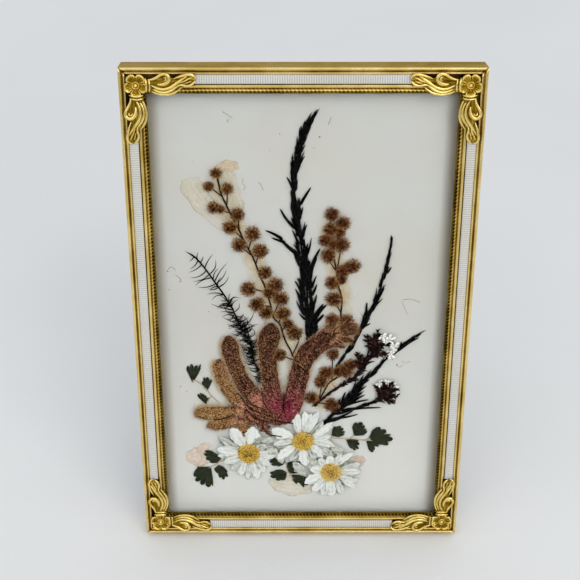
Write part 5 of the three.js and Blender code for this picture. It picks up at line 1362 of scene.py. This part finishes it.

# ------------------------------------------------------------------ daisies
# Three white everlasting daisies over the stalks: creased pointed petals in two rings, greyed by painted
# shade in their creases, at their feet and on the lower ring, and a flattened mustard disc of packed
# florets, darker in its middle and in a few pits.
DAISIES = {            # petals as (x and y of the tip, width, greyness of its own and painted shade), and pits in the disc as (x, y)
    "left": {
        "layer": 5.8, "middle": (-16.6, 28.2), "disc": 3.6, "pits": [(-0.9, -0.6), (0.6, -0.4)],
        "faded": 0.0,
        "petals": [(-22.0, 37.4, 4.8, 0.1), (-15.2, 38.0, 5.0, 0.0), (-26.0, 34.6, 2.6, 0.5),
                   (-26.8, 29.8, 3.6, 0.1), (-26.4, 27.2, 2.6, 0.3), (-24.6, 24.6, 3.2, 0.25),
                   (-22.4, 22.2, 2.6, 0.4), (-19.2, 20.2, 3.2, 0.1), (-17.0, 18.6, 2.4, 0.35),
                   (-14.2, 18.8, 3.2, 0.1), (-11.8, 21.2, 2.6, 0.3), (-9.8, 24.2, 3.0, 0.15),
                   (-8.2, 27.6, 3.6, 0.1), (-11.2, 31.6, 2.8, 0.5), (-12.4, 34.2, 2.2, 0.6)],
    },
    "middle": {
        "layer": 6.6, "middle": (0.5, 32.8), "disc": 3.4, "pits": [(0.1, 0.0)], "faded": 0.1,
        "petals": [(-1.6, 43.2, 2.8, 0.1), (1.0, 43.6, 3.0, 0.0), (3.2, 43.0, 2.4, 0.25),
                   (5.2, 43.4, 2.6, 0.1), (9.6, 39.8, 2.8, 0.0), (-9.3, 37.2, 4.2, 0.0),
                   (-8.8, 31.4, 2.8, 0.3), (-7.2, 26.2, 3.4, 0.0), (-3.4, 25.8, 3.0, 0.5),
                   (1.6, 23.8, 3.4, 0.05), (4.4, 26.2, 2.6, 0.55), (6.7, 26.8, 3.4, 0.1),
                   (10.4, 31.2, 3.4, 0.3), (9.2, 34.6, 2.8, 0.2)],
    },
    "right": {
        "layer": 7.4, "middle": (9.5, 21.4), "disc": 3.4, "pits": [(-0.1, -0.2)], "faded": 0.45,
        "petals": [(1.2, 17.2, 4.0, 0.0), (3.8, 14.2, 3.2, 0.1), (6.6, 12.8, 3.0, 0.25),
                   (10.0, 12.4, 3.6, 0.1), (13.2, 13.0, 2.8, 0.3), (17.4, 15.6, 3.4, 0.15),
                   (18.2, 18.4, 2.8, 0.3), (18.8, 21.8, 3.0, 0.2), (18.6, 24.6, 2.8, 0.35),
                   (16.2, 28.6, 2.4, 0.05), (12.6, 27.8, 2.8, 0.3), (9.4, 27.6, 3.2, 0.1),
                   (5.4, 26.0, 3.2, 0.35), (2.8, 22.4, 3.4, 0.1)],
    },
}
CRUMPLED = [           # grey, crumpled petals between the daisies, middle line as (x, y, width)
    [(-9.6, 34.2, 0.8), (-7.4, 32.6, 3.4), (-5.0, 30.4, 3.0), (-3.8, 28.2, 0.6)],
    [(-11.0, 31.0, 0.8), (-9.0, 28.8, 3.2), (-7.2, 26.2, 0.8)],
    [(2.0, 27.0, 1.0), (3.8, 24.4, 3.8), (3.4, 21.0, 1.0)],
    [(-2.6, 25.0, 0.8), (-0.6, 22.6, 3.4), (1.6, 20.0, 0.8)],
    [(4.4, 30.0, 0.8), (7.4, 29.0, 3.4), (10.2, 27.4, 1.0)],
    [(-6.0, 24.6, 0.8), (-6.6, 27.0, 2.8), (-6.0, 29.2, 0.8)],
    [(9.4, 30.6, 0.8), (11.6, 29.4, 3.0), (13.4, 27.2, 0.8)],
    [(-12.6, 33.0, 0.8), (-10.6, 33.2, 2.4), (-8.4, 34.0, 0.8)]]
PETAL_STATIONS = np.array([0.30, 0.48, 0.66, 0.80, 0.91, 1.01])
POINTED_PETAL = np.array([0.55, 0.88, 1.0, 0.82, 0.52, 0.08])        # widths at the stations
BLUNT_PETAL = np.array([0.5, 0.82, 0.98, 1.0, 0.84, 0.25])
FLORETS = 420
GOLDEN_ANGLE = math.radians(137.508)
daisy_random = np.random.default_rng(67)


def creamy_foot(along, across):
    """Cream tone of a petal: 0.45 at its foot, gone a fifth of the way along."""
    return np.clip(0.45 - 2.2 * along, 0, 1) + 0 * across


def ray(middle, tip, width, height, dull):
    """One petal: a blade from under the disc to its tip, between pointed and blunt, with folds along it
    that deepen to the foot, and a slight curl."""
    middle, tip = np.array(middle), np.array(tip)
    bow = daisy_random.uniform(-0.08, 0.08) * np.array([-(tip - middle)[1], (tip - middle)[0]])
    width = width * daisy_random.uniform(0.92, 1.08)
    blunt = daisy_random.uniform(0, 0.8)
    widths = width * (POINTED_PETAL + (BLUNT_PETAL - POINTED_PETAL) * blunt)
    line = [(*(middle + (tip - middle) * share + bow * math.sin(math.pi * share)), wide)
            for share, wide in zip(PETAL_STATIONS, widths)]
    drift = daisy_random.uniform(0, 6)
    fold = daisy_random.uniform(2.5, 4.5)
    lean = daisy_random.uniform(-0.12, 0.12)

    def relief(along, across):
        """Height: pleats that are deepest at the foot, a slow wave, a lean to one side and a crown."""
        pleat = np.cos(fold * across + drift) * (0.06 - 0.03 * along)
        return pleat + 0.06 * np.sin(5 * along + drift) + lean * across * along - 0.05 * across ** 2

    def crease(along, across):
        """Greyness: its dullness, which is part its own tone and part painted shade, a slow cloud, and
        painted shade in its folds and veins, at its foot and at its edges.
        """
        lines = 0.4 * np.abs(np.sin(fold * across + drift + along)) ** 18
        lines = lines + 0.12 * np.abs(np.sin(9 * across + drift)) ** 8
        slow = 0.12 * np.sin(4 * along + drift) * np.cos(2 * across + drift)
        return np.clip(dull + lines + slow + 0.4 * np.exp(-6 * along) + 0.35 * across ** 6, 0, 1)

    return blade(line, 22, 17, height, relief, frill=0.12, shade=crease, tint=creamy_foot)


def crumple(along, across):
    """Height of a crumpled petal: a product of waves that slant both ways."""
    return 0.13 * np.sin(9 * along + 4 * across) * np.cos(7 * across - 3 * along)


def crumpled_tone(along, across):
    """Greyness of a crumpled petal, which goes with its height."""
    return 0.7 + 0.9 * crumple(along, across)


def daisy_disc(middle, radius, height, pits, faded):
    """Florets in the spiral of the golden angle: floret i sits at radius * sqrt(i / n) and turns by
    137.5 degrees from the last. They stand on a low dome, loose and light at its rim, and lie crushed and
    dark in its pits."""
    index = np.arange(FLORETS)
    out = radius * np.sqrt((index + 0.5) / FLORETS)
    turn = index * GOLDEN_ANGLE
    rim = (out / radius) ** 8
    out = out * (1 + rim * daisy_random.uniform(-0.06, 0.14, FLORETS))
    dx, dy = out * np.cos(turn), out * np.sin(turn)
    pit = sum(np.exp(-((dx - x) ** 2 + (dy - y) ** 2) / 0.35) for x, y in pits)
    hollow = 0.45 * np.exp(-(out / (0.55 * radius)) ** 4)
    dome = np.sqrt(np.clip(1 - (out / radius) ** 2 * 0.9, 0, 1))
    top = height + 0.3 * dome - 0.2 * pit - 0.08 * hollow + daisy_random.uniform(-0.05, 0.05, FLORETS)
    rise = np.array([-0.25, 0.0, 0.1, 0.16])
    spots = (middle[0] + dx, middle[1] + dy)
    paths = np.stack([np.broadcast_to(v[:, None], (FLORETS, 4)) for v in spots] + [top[:, None] + rise], -1)
    girth = 0.33 * np.array([0.7, 1.0, 0.8, 0.0])
    shade = 0.3 + hollow * 0.5 + 0.95 * pit - 0.3 * rim + daisy_random.normal(0, 0.25, FLORETS)
    tint = np.clip(rim + faded, 0, 1)
    florets = tubes(paths, girth, girth, 6, shade=shade[:, None, None] + np.zeros((1, 4, 6)),
                    tint=tint[:, None, None] + np.zeros((1, 4, 6)))
    stations = np.linspace(-1, 1, 9)
    path = np.stack([np.full(9, middle[0]), np.full(9, middle[1]), height + stations * 0.22], 1)
    girth = 2 * radius * np.sqrt(np.clip(1 - stations ** 2, 0, 1)) * 0.96
    return joined([florets, tubes(path[None], girth, girth, 36, shade=0.8, tint=faded)])


white_ray, tree, shader = finish("white_ray", Roughness=0.65, Subsurface_Weight=0.1)
shader.inputs["Subsurface Radius"].default_value = (0.0006, 0.0006, 0.0006)
fibre = noise(tree, 900, 5)
folded = reckon(tree, "ADD", carried(tree, "shade"), fitted(tree, fibre, -0.16, 0.16, 0.35, 0.65))
petal = ramp(tree, folded, (0.0, paint(214, 215, 211)), (0.35, paint(201, 203, 198)),
             (0.7, paint(172, 174, 167)), (1.0, paint(106, 106, 94)))
colour_of(tree, shader, blend(tree, fitted(tree, carried(tree, "tint"), 0, 0.6), petal,
                              paint(216, 202, 146)))
bumpy(tree, shader, fibre, 0.00006)

disc_yellow, tree, shader = finish("disc_yellow", Roughness=0.8)
pitted = reckon(tree, "ADD", carried(tree, "shade"),
                fitted(tree, noise(tree, 2400, 3), -0.45, 0.4, 0.38, 0.62))
mustard = ramp(tree, pitted, (0.0, paint(220, 190, 84)), (0.4, paint(192, 152, 38)),
               (0.75, paint(146, 108, 22)), (1.0, paint(84, 56, 12)))
buff = ramp(tree, pitted, (0.0, paint(226, 200, 130)), (0.5, paint(204, 162, 76)),
            (1.0, paint(132, 96, 40)))
colour_of(tree, shader, blend(tree, carried(tree, "tint"), mustard, buff))
bumpy(tree, shader, noise(tree, 2200), 0.00006)

UNDER_TURN = math.radians(11)      # the lower petals stand this far round from the upper ones
spin = np.array([[math.cos(UNDER_TURN), -math.sin(UNDER_TURN)],
                 [math.sin(UNDER_TURN), math.cos(UNDER_TURN)]])
for name, daisy in DAISIES.items():
    middle = np.array(daisy["middle"])
    height = level(daisy["layer"])
    rays = []
    for i, (x, y, width, dull) in enumerate(daisy["petals"]):
        tip = np.array([x, y])
        rays.append(ray(middle, tip, width, height + 0.035 * (i % 4), dull))
        # Two petals of every three have a lower one beside them, painted 0.55 greyer as shade under the
        # upper ring.
        if i % 3:
            under = middle + spin @ (tip - middle) * daisy_random.uniform(0.7, 0.92)
            rays.append(ray(middle, under, width * daisy_random.uniform(0.6, 0.9), height - 0.18,
                            dull + 0.55))
    if name == "middle":
        rays += [blade(line, 24, 21, level(5.4) + 0.05 * i, crumple, frill=0.15, shade=crumpled_tone,
                       tint=0.1)
                 for i, line in enumerate(CRUMPLED)]
    piece(f"daisy_petals_{name}", joined(rays), white_ray, f"daisy_{name}")
    disc = daisy_disc(middle, daisy["disc"], height + 0.05, daisy["pits"], daisy["faded"])
    piece(f"daisy_disc_{name}", disc, disc_yellow)

# ------------------------------------------------------------------ back board
# Black felted card closes the back, under the six bent tabs. The board with its two rivet holes comes
# from the CAD, so only its surface is made here.
black_felt, tree, shader = finish("black_felt", Roughness=0.95, Sheen_Weight=0.2)
shader.inputs["Sheen Tint"].default_value = paint(150, 150, 158)
lint = noise(tree, 1500, 5)
rubbed = fitted(tree, noise(tree, 35, 4), 0, 0.6, 0.5, 0.8)
nap = ramp(tree, lint, (0.3, paint(18, 18, 20)), (0.6, paint(34, 33, 35)), (0.85, paint(64, 62, 62)))
colour_of(tree, shader, blend(tree, rubbed, nap, paint(74, 68, 62)))
bumpy(tree, shader, lint, 0.00012)
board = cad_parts["back_board"]
board.data.materials.clear()
board.data.materials.append(black_felt)

# ------------------------------------------------------------------ easel strut and its hinge
# A tapered board, covered in the same black felt and pressed with a border line, hangs from a steel
# bracket on a pin. Two rivets hold it to the pin's leaf, and two more hold the bracket to the back.
OPENING = math.radians(22)
PIN_Y, PIN_Z = 110.0, -8.9
STRUT_FRONT, STRUT_BACK = 0.95, -0.65
STRUT_OUTLINE = [(-3.2, 9.0), (-12.0, 11.5)]       # along the strut from the pin, and half width there
STRUT_FOOT_HALF = 18.0
STRUT_EDGE = 0.5                                   # radius of the folded felt edge
BORDER_INSET = 2.4                                 # the pressed line lies this far inside the edge
FOOT_ANGLE = OPENING - LEAN
PIN_ABOVE_TABLE = PIN_Y * math.cos(LEAN) + (PIN_Z + DEPTH) * math.sin(LEAN)


def on_leg(x, y, z):
    """Face millimetres of a place on the leg, whose own axes are the face's, turned by the opening about
    the pin: up = y * cos - z * sin above the pin, and out = y * sin + z * cos."""
    x, y, z = np.broadcast_arrays(x, y, z)
    turn, tilt = math.cos(OPENING), math.sin(OPENING)
    return np.stack([x, PIN_Y + y * turn - z * tilt, PIN_Z + y * tilt + z * turn], -1)


def strut_board():
    """Board between its outline's edges: along from the top to the level foot, across from -1 to 1. Its
    faces fall off to the edge as a quarter circle, and a pressed groove runs round just inside it."""
    share = np.linspace(0, 1, 130)[:, None]
    across = np.sin(np.linspace(-1, 1, 61)[None, :] * math.pi / 2)
    foot = (0.15 * math.sin(FOOT_ANGLE) - PIN_ABOVE_TABLE) / math.cos(FOOT_ANGLE) + 0.12
    top = STRUT_OUTLINE[0][0]
    y = top + (foot - top) * share
    places, widths = zip(*STRUT_OUTLINE)
    half = np.interp(-y, [-places[0], -places[1], -foot], [*widths, STRUT_FOOT_HALF])
    x = across * half
    inset = np.minimum(half - np.abs(x), np.minimum(top - y, y - foot))
    rounding = STRUT_EDGE * (1 - np.sqrt(np.clip(1 - (1 - np.clip(inset / STRUT_EDGE, 0, 1)) ** 2, 0, 1)))
    groove = 0.16 * np.exp(-((inset - BORDER_INSET) / 0.35) ** 2)
    back = on_leg(x, y, STRUT_BACK + rounding + groove)
    front = on_leg(x, y, STRUT_FRONT - rounding)
    return plate(front, back, np.exp(-((inset - BORDER_INSET) / 0.5) ** 2))


piece("strut_panel", strut_board(), black_felt, "strut", body="leg")

hinge_metal, tree, shader = finish("hinge_metal", Metallic=1.0)
drawn = noise(tree, 700, 3, (1, 14, 1))
oxide = noise(tree, 260, 4)
steel = ramp(tree, oxide, (0.35, paint(176, 170, 160)), (0.6, paint(150, 142, 130)),
             (0.85, paint(96, 82, 66)))
colour_of(tree, shader, steel, fitted(tree, drawn, 0.28, 0.5, 0.3, 0.7))
bumpy(tree, shader, drawn, 0.00003)
for name in ("hinge_bracket", "strut_leaf"):
    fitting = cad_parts[name]
    fitting.data.materials.clear()
    fitting.data.materials.append(hinge_metal)

RIVET_HEAD, RIVET_SHANK, RIVET_RISE, RIVET_LIFT = 1.6, 0.8, 0.5, 0.15
BRACKET_RIVETS, BRACKET_RIVET_UP = {"left": -4.2, "right": 4.2}, 4.6       # x, and y above the pin
STRUT_RIVETS = {"upper": -7.0, "lower": -11.0}                             # along the strut from the pin
BRACKET_BACK, LEAF_BACK = -7.0, -1.4
BOARD_SHANK_END, STRUT_SHANK_END = -5.35, 0.9
ROUND_SIDES = 32


def rivet(place, shank_end, head_base):
    """Rivet along z, turned from its radius at each level: a round head and a straight shank. place gives
    the face millimetres of a point beside the rivet's axis at a level."""
    dome = np.linspace(0, math.pi / 2, 9)
    radius = np.concatenate([RIVET_HEAD * np.sin(dome), [RIVET_SHANK, RIVET_SHANK, 0]])
    z = np.concatenate([head_base - RIVET_RISE * np.cos(dome), [head_base, shank_end, shank_end]])
    turn = np.linspace(0, 2 * math.pi, ROUND_SIDES, endpoint=False)
    points = place(radius[:, None] * np.cos(turn), radius[:, None] * np.sin(turn), z[:, None] + 0 * turn)
    plain = np.zeros(radius.size * ROUND_SIDES)
    return points.reshape(-1, 3), quads_of(1, radius.size, ROUND_SIDES, True), plain, plain


for side, x in BRACKET_RIVETS.items():
    head = rivet(lambda dx, dy, z: np.stack([x + dx, PIN_Y + BRACKET_RIVET_UP + dy, z], -1),
                 BOARD_SHANK_END, BRACKET_BACK - RIVET_LIFT)
    piece(f"back_rivet_{side}", head, hinge_metal, f"bracket_rivet_{side}")
for which, y in STRUT_RIVETS.items():
    head = rivet(lambda dx, dy, z: on_leg(dx, y + dy, z), STRUT_SHANK_END, LEAF_BACK - RIVET_LIFT)
    piece(f"leaf_rivet_{which}", head, hinge_metal, f"strut_rivet_{which}", body="leg")

# The pin is turned from its radius at each reach: a thin bar with a rounded head at both ends.
PIN_REACH = np.array([-8, -8, -7.85, -7.25, -7.2, -7.2, 7.2, 7.2, 7.25, 7.85, 8, 8])[:, None]
PIN_RADIUS = np.array([0, 0.95, 1.2, 1.2, 1.1, 0.6, 0.6, 1.1, 1.2, 1.2, 0.95, 0])[:, None]
PIN_SIDES = 28
turn = np.linspace(0, 2 * math.pi, PIN_SIDES, endpoint=False)
pin_points = np.stack([PIN_REACH + 0 * turn, PIN_Y + PIN_RADIUS * np.cos(turn),
                       PIN_Z + PIN_RADIUS * np.sin(turn)], -1)
plain = np.zeros(PIN_REACH.size * PIN_SIDES)
pin = (pin_points.reshape(-1, 3), quads_of(1, PIN_REACH.size, PIN_SIDES, True), plain, plain)
piece("hinge_pin_turned", pin, hinge_metal, "hinge_pin")
